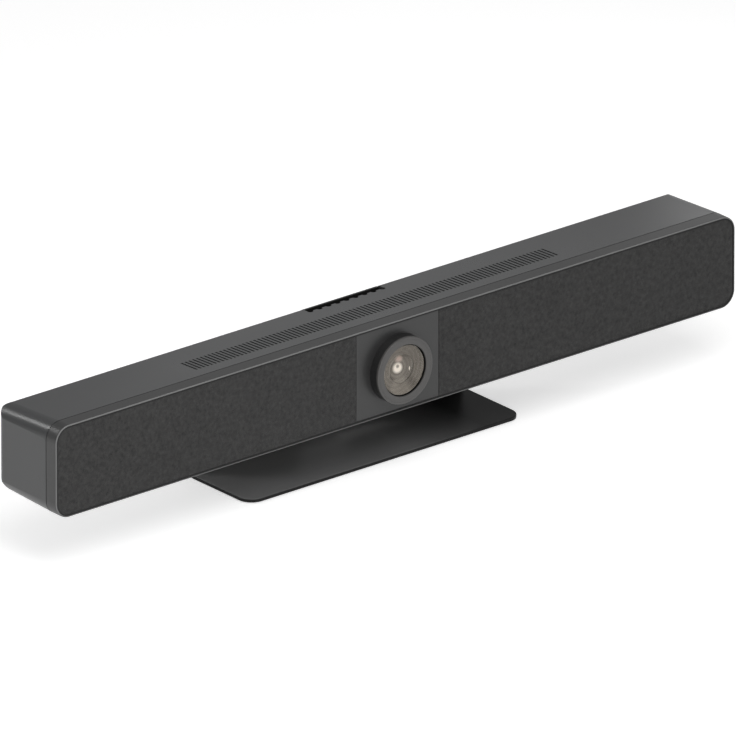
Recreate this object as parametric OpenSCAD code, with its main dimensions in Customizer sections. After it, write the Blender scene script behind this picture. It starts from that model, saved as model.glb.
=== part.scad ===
// Conference camera: a long video bar with a centred lens and cloth grilles, which tilts on the two
// friction hinges of a bent steel table stand. Millimetres, +Z up, the lens looks towards -Y.
// The origin is on the table, under the middle of the whole object.

/* [Bar] */
// Width of the bar
bar_w = 890; // [870:1:930]
// Height of the bar at its front
bar_h = 100; // [98:0.5:112]
// Depth of the bar, from the front rim to the rear face
bar_d = 93.5; // [93:0.5:105]
// Radius of the four corners seen from the front
corner_r = 17.5; // [14:0.5:22]
// Wall of the rear housing
wall = 2.5; // [2:0.1:3]
// How much lower the top is at the rear
top_fall = 3.9; // [2:0.1:5]
// How much higher the underside is at the rear
bottom_rise = 3.6; // [2:0.1:4]
// How much each end leans inwards by the rear
end_taper = 0.8; // [0.4:0.1:2]
// Radius of the upright edges at the rear
rear_corner_r = 9; // [6:0.5:12]
// Radius of the long edge at the top rear
rear_edge_r = 4.5; // [3:0.5:6]
// Height of the chamfer along the bottom rear edge
chamfer_rise = 21.5; // [16:0.5:22]
// Depth of that chamfer
chamfer_run = 14; // [10:0.5:15]

/* [Front frame] */
// Depth of the front frame
frame_d = 15; // [14:0.5:18]
// Open seam between the frame and the rear housing
seam = 0.9; // [0.6:0.1:1.5]
// Width of the rim seen from the front
rim_w = 3; // [2.6:0.1:3.4]
// Bevel on the rim's outer edge
rim_bevel = 1.4; // [0.8:0.1:1.8]
// Reach of the inner ledge, from the outside of the frame
ledge_reach = 8; // [7:0.5:10]
// Thickness of the ledge
ledge_t = 2; // [1.5:0.1:2.5]
// How far the grilles and the panel sit behind the rim
face_inset = 0.8; // [0.5:0.1:1.2]
// Length of the housing's tongue inside the frame
tongue_l = 5; // [4:0.5:6]
// Thickness of the tongue
tongue_t = 2; // [1.5:0.1:2.4]

/* [Grilles and centre panel] */
// Thickness of a cloth-covered grille
grille_t = 1.2; // [1:0.1:1.4]
// Thickness of the carrier behind a grille
carrier_t = 2.8; // [2.4:0.1:3.2]
// Gap round a grille
grille_gap = 0.5; // [0.3:0.1:0.8]
// Width of the centre panel
panel_w = 107.4; // [100:0.2:114]
// Thickness of the centre panel
panel_t = 2.5; // [2:0.1:3]

/* [Lens collar] */
// How far the lens axis is below the middle of the front
lens_drop = 1; // [0:0.5:3]
// Outer radius of the collar
ring_r = 36; // [35:0.5:38]
// How far the collar stands out of the rim
ring_proud = 11.6; // [9:0.1:14]
// Bevel on the collar's outer edge
ring_bevel = 0.8; // [0.4:0.1:1.5]
// Radius of the opening in the collar's face
ring_mouth_r = 27.6; // [27:0.1:28.5]
// Radius of the spigot that passes through the panel
spigot_r = 33.5; // [32:0.1:34]
// Radius of the collar's bore behind the glass
ring_bore_r = 25.6; // [25:0.1:26]
// Depth from the collar's face to the cover glass
glass_depth = 4; // [3:0.1:5]
// Thickness of the cover glass
glass_t = 1.5; // [1:0.1:2]
// Radius of the clear window inside the hood
window_r = 25.2; // [24:0.1:25.4]

/* [Camera] */
// Radius of the lens barrel's front flange
barrel_flange_r = 24; // [22:0.5:24.8]
// Thickness of that flange
barrel_flange_t = 3; // [2:0.1:4]
// Radius of the lens barrel behind the flange
barrel_r = 19; // [17:0.5:21]
// Radius of the barrel's rear part
barrel_rear_r = 16; // [15:0.5:16.5]
// Length of the lens barrel
barrel_l = 31; // [28:0.5:32]
// Length of the barrel's wide part, flange included
barrel_wide_l = 17; // [14:0.5:18]
// Radius of the front lens
front_lens_r = 15; // [13:0.5:15.5]
// Thickness of the front lens at its rim
front_lens_rim_t = 2; // [1.5:0.1:3]
// How far the front lens swells forward
front_lens_swell = 2.6; // [2:0.1:3]
// Radius of the rear lens
rear_lens_r = 9; // [7:0.5:11]
// Thickness of the rear lens
rear_lens_t = 4; // [3:0.5:6]
// Radius of the barrel's bore
barrel_bore_r = 8; // [6:0.5:8.5]
// Wall of the lens holder
holder_wall = 3; // [2.5:0.1:3]
// Side of the holder's square flange
holder_side = 46; // [45:0.5:48]
// Thickness of that flange
holder_flange_t = 3; // [2:0.1:4]
// Length of the holder's tube in front of its flange
holder_tube_l = 8; // [6:0.5:9]
// Width and height of the image sensor
sensor_w = 13; // [10:0.5:14]
// Thickness of the image sensor
sensor_t = 1.5; // [1:0.1:1.6]
// Side of the camera bracket
bracket_side = 76; // [74:0.5:78]
// Thickness of the camera bracket
bracket_t = 1.6; // [1.2:0.1:2]
// Distance of the bracket's screws from the lens axis, across and up
bracket_screw_x = 31; // [30:0.5:32]
// Radius of the panel's screw posts
post_r = 3.5; // [3:0.1:4]

/* [Top vents] */
// Number of vent slots
vent_count = 96; // [60:1:98]
// Distance from slot to slot
vent_pitch = 4.97; // [4:0.01:5.2]
// Width of a slot
vent_w = 2.2; // [1.4:0.1:2.6]
// Start of the slots behind the front rim
vent_y = 31.2; // [30.8:0.2:33]
// Length of a slot
vent_l = 25.6; // [20:0.2:26]

/* [Rear vent] */
// Width of the notch at the top rear edge
notch_w = 99.5; // [90:0.5:110]
// Depth of the notch, from the rear face forwards, scallops left out
notch_d = 12; // [11:0.1:17]
// Height of the notch down the rear face
notch_h = 12; // [10:0.5:13]
// Number of scallops on its front side
scallop_count = 9; // [5:1:9]
// Distance from scallop to scallop
scallop_pitch = 11.8; // [8:0.1:11.9]
// Radius of a scallop
scallop_r = 3.2; // [2:0.1:3.6]
// Wall of the vent insert
vent_wall = 1.6; // [1.2:0.1:1.8]
// Depth of the strip along the insert's top rear edge
strip_d = 2.5; // [2:0.1:4]
// How far that strip lies below the housing's top
strip_drop = 1.2; // [0.8:0.1:2]
// Depth of the trough in front of the strip
trough_drop = 6.5; // [5:0.1:7]

/* [Speakers] */
// Inner end of a speaker enclosure, from the middle of the bar
enclosure_x = 186; // [184:0.5:190]
// Distance from a speaker enclosure's outer end to the end of the bar
enclosure_end = 21; // [20:0.5:30]
// Inset of the enclosures from the top and the underside
enclosure_inset = 5.6; // [5.5:0.1:7]
// Gap between the rear of an enclosure and the port board
enclosure_gap = 3.95; // [2:0.05:6]
// Wall of an enclosure
enclosure_wall = 2.5; // [2:0.1:3]
// Thickness of its front baffle
baffle_t = 4; // [3.5:0.1:5]
// Place of the woofer's axis, as a share of the enclosure's width
woofer_share = 0.555; // [0.5:0.005:0.6]
// Distance from the woofer's flange to the enclosure's top and underside
woofer_margin = 6.4; // [4.5:0.1:9]
// Thickness of that flange
flange_t = 1.6; // [1.2:0.1:2]
// Radius of the magnet
magnet_r = 24; // [20:0.5:26]
// Thickness of the magnet, as a share of the enclosure's depth
magnet_share = 0.21; // [0.18:0.005:0.22]
// Depth of the basket behind its flange, as a share of the enclosure's depth
basket_share = 0.515; // [0.48:0.005:0.53]
// Radius of the voice coil
coil_r = 8.9; // [8:0.1:9.5]
// Width of the rubber roll
roll_w = 5.6; // [5:0.1:6]
// Radius of the tweeter's flange
tweeter_r = 14; // [12:0.5:15]
// Place of the tweeter's axis, as a share of the enclosure's width
tweeter_share = 0.15; // [0.12:0.005:0.17]

/* [Electronics] */
// Width of the chassis plate
chassis_w = 320; // [300:1:324]
// Distance from the chassis plate to the bar's top and underside
chassis_inset = 26.5; // [26:0.5:28]
// Thickness of the chassis plate
chassis_t = 1.5; // [1.2:0.1:2]
// Width of the main board
board_w = 316; // [310:1:320]
// Distance from the main board to the bar's top and underside
board_inset = 22; // [21:0.5:24]
// Thickness of a circuit board
board_t = 1.6; // [1.2:0.1:1.8]
// Height of the posts that carry the main board
board_post_l = 13.4; // [12:0.1:13.5]
// Width of the heatsink
heatsink_w = 112; // [90:1:120]
// Distance from the heatsink's ends to the main board's long edges
heatsink_inset = 2; // [0:0.5:5]
// Height of its fins
fin_l = 22; // [16:0.5:24]
// Number of fins
fin_count = 19; // [9:1:24]
// Thickness of a fin
fin_t = 1.2; // [1:0.1:1.6]
// Distance of the fan's axis from the middle of the bar
fan_x = 105; // [95:0.5:115]
// Distance of the fan's axis behind the front rim
fan_y = 44; // [43.8:0.1:44.2]
// Side of the fan
fan_side = 40; // [39.6:0.1:40.4]
// Height of the fan
fan_h = 10; // [9:0.1:12]
// Length of the microphone boards
mic_l = 108; // [90:1:109]
// Height of the microphone boards
mic_h = 8; // [6:0.5:9]

/* [Ports] */
// Distance of the cable bay from the middle of the bar
bay_x = 207; // [205:0.5:212]
// Width of the cable bay
bay_w = 126; // [124:0.5:130]
// Height of the cable bay
bay_h = 42; // [38:0.5:46]
// Depth of the cable bay
bay_d = 22; // [20:0.5:22.5]
// Length of the sockets
socket_l = 15.8; // [14:0.1:16]
// Distance of the power button from the middle of the bar
button_x = 230; // [215:0.5:260]
// Radius of the power button
button_r = 4.9; // [4:0.1:6]
// Travel of the power button
button_travel = 1; // [0.6:0.1:1.1]

/* [Wall mount] */
// Distance between the wall-mount threads, across
mount_x = 380; // [378:0.5:382]
// Distance between the wall-mount threads, up
mount_z = 40; // [36:0.5:44]
// Radius of the threads' core
mount_r = 2.1; // [1.6:0.05:2.2]
// Depth of the threads
mount_l = 10; // [8:0.5:11]

/* [Stand] */
// Width of the stand's plate
stand_w = 359; // [345:1:370]
// Thickness of the stand's steel
stand_t = 3.6; // [3:0.1:4]
// Front edge of the plate behind the bar's front rim
stand_front = 18; // [12:0.5:24]
// Clear height between the plate and the bar
stand_clear = 55.7; // [50:0.1:64]
// Radius of the plate's corners
stand_corner_r = 16; // [10:0.5:20]
// Bevel on the plate's upper edge
stand_bevel = 0.7; // [0.4:0.1:1.2]
// Inner radius of the bend
bend_r = 6; // [4:0.5:8]
// Radius of the upright's top corners
upright_corner_r = 12; // [8:0.5:16]
// Width of the cable window in the upright
window_w = 70; // [60:0.5:80]
// Height of the cable window
window_h = 24; // [20:0.5:28]
// Height of the rubber feet
foot_h = 1; // [0.8:0.1:2]

/* [Hinges] */
// Distance of each hinge from the middle
hinge_x = 110; // [104:0.5:114]
// Height of the hinge axis above the middle of the bar
hinge_rise = 0; // [-2:0.5:2]
// Width of a hinge leaf
leaf_w = 44; // [42:0.5:46]
// Height of a hinge leaf
leaf_h = 30; // [28:0.5:32]
// Thickness of a hinge leaf
leaf_t = 3; // [2.6:0.1:3.6]
// Radius of a knuckle
knuckle_r = 6; // [5:0.1:6.5]
// Radius of the hinge pin
pin_r = 3; // [2.5:0.1:3.4]
// Length of the bar leaf's knuckle
knuckle_l = 14; // [12:0.5:16]
// Length of each of the stand leaf's ears
ear_l = 9; // [7:0.5:10]

/* [Hidden] */
$fn = 64;
overrun = 1;
seat = 0.3;
close_seat = 0.15;
running = 0.05;

// Finishes as the photograph shows them
shell_colour = "#56565a";
rim_colour = "#4c4c4f";
cloth_colour = "#3c3c3c";
panel_colour = "#484849";
black_colour = "#1b1b1c";
stand_colour = "#2f2f31";
steel_colour = "#9a9b9e";
board_colour = "#1f5a3a";
brass_colour = "#b08d4a";
glass_colour = "#8f8a82";

// Heights and depths that several pieces share, measured from the bar's rim and underside
housing_y = frame_d + seam;
mid_z = bar_h / 2;
lens_z = mid_z - lens_drop;
ledge_y = face_inset + grille_t + carrier_t + seat;
baffle_y = ledge_y + ledge_t + close_seat;
half_w = bar_w / 2;
function run_share(y) = (y - housing_y) / (bar_d - housing_y);
function top_z(y) = bar_h - top_fall * run_share(y);
function bottom_z(y) = bottom_rise * run_share(y);
function end_x(y) = half_w - end_taper * run_share(y);
top_lean = atan(top_fall / (bar_d - housing_y));
bottom_lean = atan(bottom_rise / (bar_d - housing_y));
rear_inner_y = bar_d - wall;

// The hinge axis lies between the bar's rear face and the stand's upright
knuckle_gap = 1.5;
hinge_y = bar_d + leaf_t + knuckle_r + knuckle_gap;
hinge_z = mid_z + hinge_rise;
upright_y = hinge_y + knuckle_r + knuckle_gap / 2 + leaf_t;
screw_head_h = 2;
screw_head_r = 3.4;
screw_r = 1.95;
screw_hole_r = 2.2;
front_y = -ring_proud;
rear_y = upright_y + stand_t + screw_head_h;
middle_y = (front_y + rear_y) / 2;
bar_lift = foot_h + stand_t + stand_clear;

// Outlines with round corners: each corner keeps its arc as a true circle
function ahead(points, i) = points[(i + 1) % len(points)];
function behind(points, i) = points[(i + len(points) - 1) % len(points)];
function unit(v) = v / norm(v);
function inward(a, b) = unit([a[1] - b[1], b[0] - a[0]]);
function inset_at(p, n1, n2, d) = p + d * (n1 + n2) / (1 + n1 * n2);
function inset(points, d) = [for (i = [0:len(points) - 1])
    inset_at(points[i], inward(behind(points, i), points[i]), inward(points[i], ahead(points, i)), d)];
function arm(points, i, side) = unit((side > 0 ? ahead(points, i) : behind(points, i)) - points[i]);
function half_angle(points, i) = acos(arm(points, i, 1) * arm(points, i, -1)) / 2;
function touch(points, radii, i, side) = points[i]
    + arm(points, i, side) * radii[i] / tan(half_angle(points, i));
function arc_centre(points, radii, i) = points[i]
    + unit(arm(points, i, 1) + arm(points, i, -1)) * radii[i] / sin(half_angle(points, i));

module smooth_outline(points, radii) {
    polygon([for (i = [0:len(points) - 1], side = [-1, 1]) touch(points, radii, i, side)]);
    for (i = [0:len(points) - 1]) if (radii[i] > 0) translate(arc_centre(points, radii, i)) circle(radii[i]);
}

module rounded_rect(w, h, r) {
    smooth_outline([[-w / 2, -h / 2], [w / 2, -h / 2], [w / 2, h / 2], [-w / 2, h / 2]], [r, r, r, r]);
}

// Extrusions along Y and along X, with the outline's first axis kept across or along the depth
module along_y(y0, y1) {
    translate([0, y1, 0]) rotate([90, 0, 0]) linear_extrude(y1 - y0) children();
}

module along_x(x0, x1) {
    translate([x0, 0, 0]) rotate([90, 0, 90]) linear_extrude(x1 - x0) children();
}

// A turned piece round an axis that runs back along +Y, from points of radius and depth
module turned(points) {
    rotate([-90, 0, 0]) rotate_extrude() polygon(points);
}

module rod(r, y0, y1) {
    translate([0, y0, 0]) rotate([-90, 0, 0]) cylinder(h = y1 - y0, r = r);
}

module box(x0, x1, y0, y1, z0, z1) {
    translate([x0, y0, z0]) cube([x1 - x0, y1 - y0, z1 - z0]);
}

// A block centred across and up
module block(w, h, y0, y1) {
    box(-w / 2, w / 2, y0, y1, -h / 2, h / 2);
}

module at(x, z) {
    translate([x, 0, z]) children();
}

module sides() {
    for (side = [0, 1]) mirror([side, 0, 0]) children();
}

module corners(x, z) {
    for (sx = [-1, 1], sz = [-1, 1]) at(sx * x, sz * z) children();
}

// A ring with one section swept round a rounded rectangle, from points of inset and depth
module ring_sweep(w, h, r, points) {
    for (mx = [0, 1], mz = [0, 1]) mirror([mx, 0, 0]) mirror([0, 0, mz])
        translate([w / 2 - r, 0, r - h / 2]) rotate([-90, 0, 0])
            rotate_extrude(angle = 90) polygon([for (p = points) [r - p[0], p[1]]]);
    for (mz = [0, 1]) mirror([0, 0, mz])
        along_x(r - w / 2, w / 2 - r) polygon([for (p = points) [p[1], p[0] - h / 2]]);
    for (mx = [0, 1]) mirror([mx, 0, 0])
        translate([0, 0, r - h / 2]) linear_extrude(h - 2 * r)
            polygon([for (p = points) [w / 2 - p[0], p[1]]]);
}

// Places the bar's own depths and heights in the object's frame
module in_bar() {
    translate([0, -middle_y, bar_lift]) children();
}

// Front frame
case_screw_inset = 11;
case_post_r = 4.5;
case_hole_r = 1.7;
case_shank_r = 1.5;
case_post_reach = 4;
case_post_y = housing_y + case_post_reach;
case_ends_z = 20;

module case_places() {
    for (sz = [-1, 1], sx = [-1, 1]) {
        at(sx * (half_w - case_screw_inset), mid_z + sz * case_ends_z) children();
        at(sx * (enclosure_x - case_screw_inset), mid_z + sz * (mid_z - case_screw_inset)) children();
    }
}

module front_frame() {
    color(rim_colour) in_bar() difference() {
        union() {
            at(0, mid_z) ring_sweep(bar_w, bar_h, corner_r, [[rim_bevel, 0], [rim_w, 0],
                [rim_w, ledge_y], [ledge_reach, ledge_y], [ledge_reach, ledge_y + ledge_t],
                [rim_w, ledge_y + ledge_t], [rim_w, frame_d], [0, frame_d], [0, rim_bevel]]);
            case_places() rod(case_post_r, ledge_y, case_post_y - close_seat);
        }
        case_places() rod(case_shank_r + running, baffle_y + ledge_t, case_post_y + overrun);
    }
}

// Rear housing
side_points = [[housing_y, 0], [bar_d - chamfer_run, bottom_z(bar_d - chamfer_run)],
    [bar_d, bottom_z(bar_d) + chamfer_rise], [bar_d, top_z(bar_d)], [housing_y, bar_h]];
plan_points = [[-half_w, housing_y], [half_w, housing_y], [end_x(bar_d), bar_d], [-end_x(bar_d), bar_d]];
chamfer_edge_r = 5;
slip = 0.01;

// Moves the front points of an outline forward, for the hollow that opens to the front
function opened(points, axis, reach) = [for (p = points)
    p[axis] > housing_y + wall + overrun ? p : (axis == 0 ? [p[0] - reach, p[1]] : [p[0], p[1] - reach])];

module housing_form(depth, reach) {
    r = corner_r - depth;
    edge_r = rear_edge_r - depth / 2;
    w = bar_w - 2 * depth;
    intersection() {
        along_x(-half_w, half_w) smooth_outline(opened(inset(side_points, depth), 0, reach),
            [0, chamfer_edge_r, chamfer_edge_r, edge_r, 0]);
        linear_extrude(bar_h) smooth_outline(opened(inset(plan_points, depth), 1, reach),
            [0, 0, rear_corner_r - depth, rear_corner_r - depth]);
        translate([0, housing_y, bar_h]) rotate([-top_lean, 0, 0]) translate([0, 0, -bar_h])
            along_y(-housing_y, bar_d) smooth_outline([[-w / 2, -bar_h], [w / 2, -bar_h],
                [w / 2, bar_h - depth + slip], [-w / 2, bar_h - depth + slip]], [0, 0, r, r]);
        translate([0, housing_y, 0]) rotate([bottom_lean, 0, 0])
            along_y(-housing_y, bar_d) smooth_outline([[-w / 2, depth - slip], [w / 2, depth - slip],
                [w / 2, 2 * bar_h], [-w / 2, 2 * bar_h]], [r, r, 0, 0]);
    }
}

collar_l = 4;
tongue_gap = 0.15;
tongue_out = rim_w + tongue_gap;
bay_z = mid_z - bay_h / 2;
bay_floor_y = bar_d - bay_d;
bay_corner_r = 4;
port_board_y = bay_floor_y - close_seat - socket_l - board_t;
boss_r = 5.5;
boss_bore_r = 3.5;
boss_floor_t = 6;
insert_wall = 1.4;
insert_boss_r = mount_r + insert_wall + wall;
button_lip = 1.6;
button_flange_r = button_r + button_lip;
button_flange_t = 1.4;
button_post_x = 14;
button_board_depth = 15.5;
button_board_y = bar_d - button_board_depth;
fan_drop = 7;
fan_top_z = top_z(fan_y + fan_side / 2) - wall - fan_drop;
fan_hole_inset = 4;
fan_hole = fan_side / 2 - fan_hole_inset;
fan_post_r = 2.4;
fan_peg_r = 1.4;
port_post_x = 4.5;

module port_post_places() {
    for (sx = [-1, 1]) at(bay_x + bay_w / 2 + sx * (bay_w / 2 - port_post_x), mid_z) children();
}

module fan_places() {
    for (sx = [-1, 1], sy = [-1, 1])
        translate([fan_x + sx * fan_hole, fan_y + sy * fan_hole, 0]) children();
}

module vent_slots() {
    for (i = [0:vent_count - 1])
        box((i - (vent_count - 1) / 2) * vent_pitch - vent_w / 2,
            (i - (vent_count - 1) / 2) * vent_pitch + vent_w / 2,
            vent_y, vent_y + vent_l, top_z(bar_d) - wall - overrun, bar_h + overrun);
}

module notch_cut() {
    z0 = top_z(bar_d) - notch_h;
    box(-notch_w / 2, notch_w / 2, bar_d - notch_d, bar_d + overrun, z0, bar_h + overrun);
    for (i = [0:scallop_count - 1])
        translate([(i - (scallop_count - 1) / 2) * scallop_pitch, bar_d - notch_d, z0])
            cylinder(h = notch_h + top_fall + overrun, r = scallop_r);
}

module leaf_corners() {
    at(0, hinge_z) corners(leaf_w / 2 - leaf_edge, leaf_h / 2 - leaf_edge) children();
}

module leaf_screw_places() {
    for (sx = [-1, 1]) at(sx * hinge_x, 0) leaf_corners() children();
}

module mount_places() {
    at(0, mid_z) corners(mount_x / 2, mount_z / 2) children();
}

module housing_bosses() {
    case_places() rod(boss_r, case_post_y, bar_d);
    mount_places() rod(insert_boss_r, bar_d - mount_l - wall, bar_d);
    along_y(bay_floor_y - wall, bar_d) at_outline(bay_x + bay_w / 2, mid_z)
        rounded_rect(bay_w + 2 * wall, bay_h + 2 * wall, bay_corner_r + wall);
    port_post_places() rod(post_r, port_board_y + board_t + close_seat, bay_floor_y - wall / 2);
    for (sx = [-1, 1]) at(-button_x + sx * button_post_x, mid_z)
        rod(post_r, button_board_y + board_t + close_seat, bar_d);
    fan_places() translate([0, 0, fan_top_z + close_seat])
        cylinder(h = bar_h - fan_top_z - close_seat, r = fan_post_r);
    fan_places() translate([0, 0, fan_top_z - fan_h]) cylinder(h = 2 * fan_h, r = fan_peg_r);
}

// A ring in the front opening that carries the tongue, which plugs into the front frame
module housing_tongue() {
    difference() {
        union() {
            along_y(housing_y, housing_y + collar_l) inset_rect(wall / 2);
            along_y(frame_d - tongue_l, housing_y + collar_l / 2) inset_rect(tongue_out);
        }
        along_y(frame_d - tongue_l - overrun, housing_y + collar_l + overrun)
            inset_rect(tongue_out + tongue_t);
    }
}

module rear_housing() {
    color(shell_colour) in_bar() difference() {
        union() {
            difference() {
                housing_form(0, 0);
                housing_form(wall, wall + overrun);
            }
            intersection() {
                housing_bosses();
                housing_form(wall / 2, 0);
            }
            housing_tongue();
        }
        case_places() rod(boss_bore_r, case_post_y + boss_floor_t, bar_d + overrun);
        case_places() rod(case_hole_r, case_post_y - overrun, bar_d);
        mount_places() rod(mount_r + insert_wall + running, bar_d - mount_l, bar_d + overrun);
        along_y(bay_floor_y, bar_d + overrun) at_outline(bay_x + bay_w / 2, mid_z)
            rounded_rect(bay_w, bay_h, bay_corner_r);
        socket_cuts();
        at(-button_x, mid_z) rod(button_r + seat, rear_inner_y - overrun, bar_d + overrun);
        leaf_screw_places() rod(screw_hole_r, rear_inner_y - overrun, bar_d + overrun);
        vent_slots();
        notch_cut();
    }
}

module at_outline(x, z) {
    translate([x, z]) children();
}

module inset_rect(depth) {
    at_outline(0, mid_z) rounded_rect(bar_w - 2 * depth, bar_h - 2 * depth, corner_r - depth);
}

// Grilles, with the sharp edge beside the centre panel
grille_out = rim_w + grille_gap;
grille_in_x = panel_w / 2 + grille_gap;
mic_side_gap = 6;
mic_top_gap = 4;
mic_x = grille_in_x + mic_side_gap;
mic_z = bar_h - ledge_reach - mic_h - mic_top_gap;
mic_count = 4;

module grille_outline(gap) {
    x0 = grille_in_x + gap;
    x1 = half_w - grille_out - gap;
    z0 = grille_out + gap;
    z1 = bar_h - grille_out - gap;
    r = corner_r - grille_out - gap;
    smooth_outline([[x0, z0], [x1, z0], [x1, z1], [x0, z1]], [0, r, r, 0]);
}

module grille() {
    color(cloth_colour) in_bar() along_y(face_inset, face_inset + grille_t) grille_outline(0);
}

module woofer_place() {
    at(enclosure_x + woofer_share * enclosure_w, mid_z) children();
}

module tweeter_place() {
    at(enclosure_x + tweeter_share * enclosure_w, mid_z) children();
}

module mic_places() {
    for (i = [0:mic_count - 1]) at(mic_x + (i + 1 / 2) * mic_l / mic_count, mic_z + mic_h / 2) children();
}

mic_hole_r = 1;

module grille_carrier() {
    y0 = face_inset + grille_t;
    color(black_colour) in_bar() difference() {
        along_y(y0, y0 + carrier_t) grille_outline(seat);
        woofer_place() rod(woofer_r - flange_t, y0 - overrun, y0 + carrier_t + overrun);
        tweeter_place() rod(tweeter_r, y0 - overrun, y0 + carrier_t + overrun);
        mic_places() rod(mic_hole_r, y0 - overrun, y0 + carrier_t + overrun);
    }
}

// Centre panel
panel_z = rim_w + close_seat;
panel_rib_h = ledge_reach - panel_z;
panel_post_l = 18;
bracket_y = ledge_y + panel_post_l;

module centre_panel() {
    x = panel_w / 2;
    y1 = face_inset + panel_t;
    color(panel_colour) in_bar() difference() {
        union() {
            box(-x, x, face_inset, y1, panel_z, bar_h - panel_z);
            box(-x, x, face_inset, ledge_y, panel_z, panel_z + panel_rib_h);
            box(-x, x, face_inset, ledge_y, bar_h - panel_z - panel_rib_h, bar_h - panel_z);
            at(0, lens_z) corners(bracket_screw_x, bracket_screw_x) rod(post_r, y1, bracket_y);
        }
        at(0, lens_z) rod(spigot_r + close_seat, face_inset - overrun, y1 + overrun);
        at(0, lens_z) corners(bracket_screw_x, bracket_screw_x)
            rod(small_screw_r + running, y1 + overrun, bracket_y + overrun);
    }
}

// Collar, hood and glass
spigot_l = 4;
glass_y = front_y + glass_depth;
glass_r = ring_mouth_r - close_seat;

module lens_ring() {
    color(rim_colour) in_bar() at(0, lens_z) turned([[ring_mouth_r, front_y], [ring_r - ring_bevel, front_y],
        [ring_r, front_y + ring_bevel], [ring_r, face_inset - close_seat / 2],
        [spigot_r, face_inset - close_seat / 2], [spigot_r, face_inset + panel_t + spigot_l],
        [ring_bore_r, face_inset + panel_t + spigot_l], [ring_bore_r, glass_y + glass_t],
        [ring_mouth_r, glass_y + glass_t]]);
}

hood_lip = 0.6;

module lens_hood() {
    color(black_colour) in_bar() at(0, lens_z) turned([[glass_r, front_y + hood_lip],
        [glass_r, glass_y - close_seat / 2], [window_r, glass_y - close_seat / 2],
        [window_r, glass_y - hood_lip], [glass_r - hood_lip, front_y + hood_lip]]);
}

module cover_glass() {
    color(glass_colour) in_bar() at(0, lens_z) rod(glass_r, glass_y, glass_y + glass_t);
}

// Camera module, from the barrel's front flange back to the sensor
barrel_y = glass_y + glass_t + seat;
lens_seat_y = barrel_y + barrel_flange_t;
rear_lens_step = 2;
rear_lens_y = barrel_y + barrel_wide_l + rear_lens_step;
barrel_end_y = barrel_y + barrel_l;
holder_y = bracket_y + bracket_t;
small_screw_r = 1.25;
small_head_r = 2.4;
small_head_h = 1.6;
holder_bore_r = barrel_rear_r + running;
sensor_face_y = holder_y + holder_flange_t;

module lens_barrel() {
    mouth_r = front_lens_r + running;
    color(black_colour) in_bar() at(0, lens_z) turned([[barrel_flange_r - hood_lip, barrel_y],
        [barrel_flange_r, barrel_y + hood_lip], [barrel_flange_r, lens_seat_y], [barrel_r, lens_seat_y],
        [barrel_r, barrel_y + barrel_wide_l], [barrel_rear_r, barrel_y + barrel_wide_l],
        [barrel_rear_r, barrel_end_y], [rear_lens_r + running, barrel_end_y],
        [rear_lens_r + running, rear_lens_y], [barrel_bore_r, rear_lens_y],
        [barrel_bore_r, lens_seat_y + front_lens_rim_t + running],
        [mouth_r, lens_seat_y + front_lens_rim_t + running], [mouth_r, barrel_y + front_lens_swell / 2],
        [mouth_r + front_lens_swell / 2, barrel_y + front_lens_swell / 4],
        [barrel_r, barrel_y + front_lens_swell / 4], [barrel_r, barrel_y]]);
}

// The front lens is a drum whose face bulges in bands of a ball
swell_r = (front_lens_r * front_lens_r + front_lens_swell * front_lens_swell) / (2 * front_lens_swell);
swell_angle = asin(front_lens_r / swell_r);
lens_bands = 12;

module front_lens() {
    top_y = lens_seat_y - front_lens_swell;
    color(glass_colour) in_bar() at(0, lens_z) turned(concat(
        [for (i = [0:lens_bands]) [swell_r * sin(swell_angle * i / lens_bands),
            top_y + swell_r * (1 - cos(swell_angle * i / lens_bands))]],
        [[front_lens_r, lens_seat_y + front_lens_rim_t], [0, lens_seat_y + front_lens_rim_t]]));
}

module rear_lens() {
    color(glass_colour) in_bar() at(0, lens_z)
        rod(rear_lens_r, rear_lens_y + running, rear_lens_y + rear_lens_t);
}

module lens_holder() {
    color(black_colour) in_bar() at(0, lens_z) difference() {
        union() {
            along_y(holder_y, holder_y + holder_flange_t) rounded_rect(holder_side, holder_side, post_r);
            rod(barrel_rear_r + holder_wall, holder_y - holder_tube_l, holder_y + overrun);
        }
        rod(holder_bore_r, holder_y - holder_tube_l - overrun, holder_y + holder_flange_t + overrun);
    }
}

module image_sensor() {
    color("#20242c") in_bar() at(0, lens_z)
        block(sensor_w, sensor_w, sensor_face_y - sensor_t, sensor_face_y);
}

module sensor_board() {
    color(board_colour) in_bar() at(0, lens_z) along_y(sensor_face_y, sensor_face_y + board_t)
        rounded_rect(holder_side, holder_side, post_r);
}

module camera_bracket() {
    color(steel_colour) in_bar() at(0, lens_z) difference() {
        along_y(bracket_y, bracket_y + bracket_t) rounded_rect(bracket_side, bracket_side, post_r);
        rod(barrel_rear_r + holder_wall + close_seat, bracket_y - overrun, bracket_y + bracket_t + overrun);
        corners(bracket_screw_x, bracket_screw_x)
            rod(small_screw_r + close_seat, bracket_y - overrun, bracket_y + bracket_t + overrun);
    }
}

small_screw_l = 8;

// A pan-head screw whose shank points towards -Y from the face it is driven into
module screw(face_y, head_r, head_h, shank_r, shank_l) {
    rod(head_r, face_y, face_y + head_h);
    rod(shank_r, face_y - shank_l, face_y);
}

module camera_screws() {
    color(steel_colour) in_bar() at(0, lens_z) corners(bracket_screw_x, bracket_screw_x)
        screw(bracket_y + bracket_t, small_head_r, small_head_h, small_screw_r, small_screw_l);
}

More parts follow.
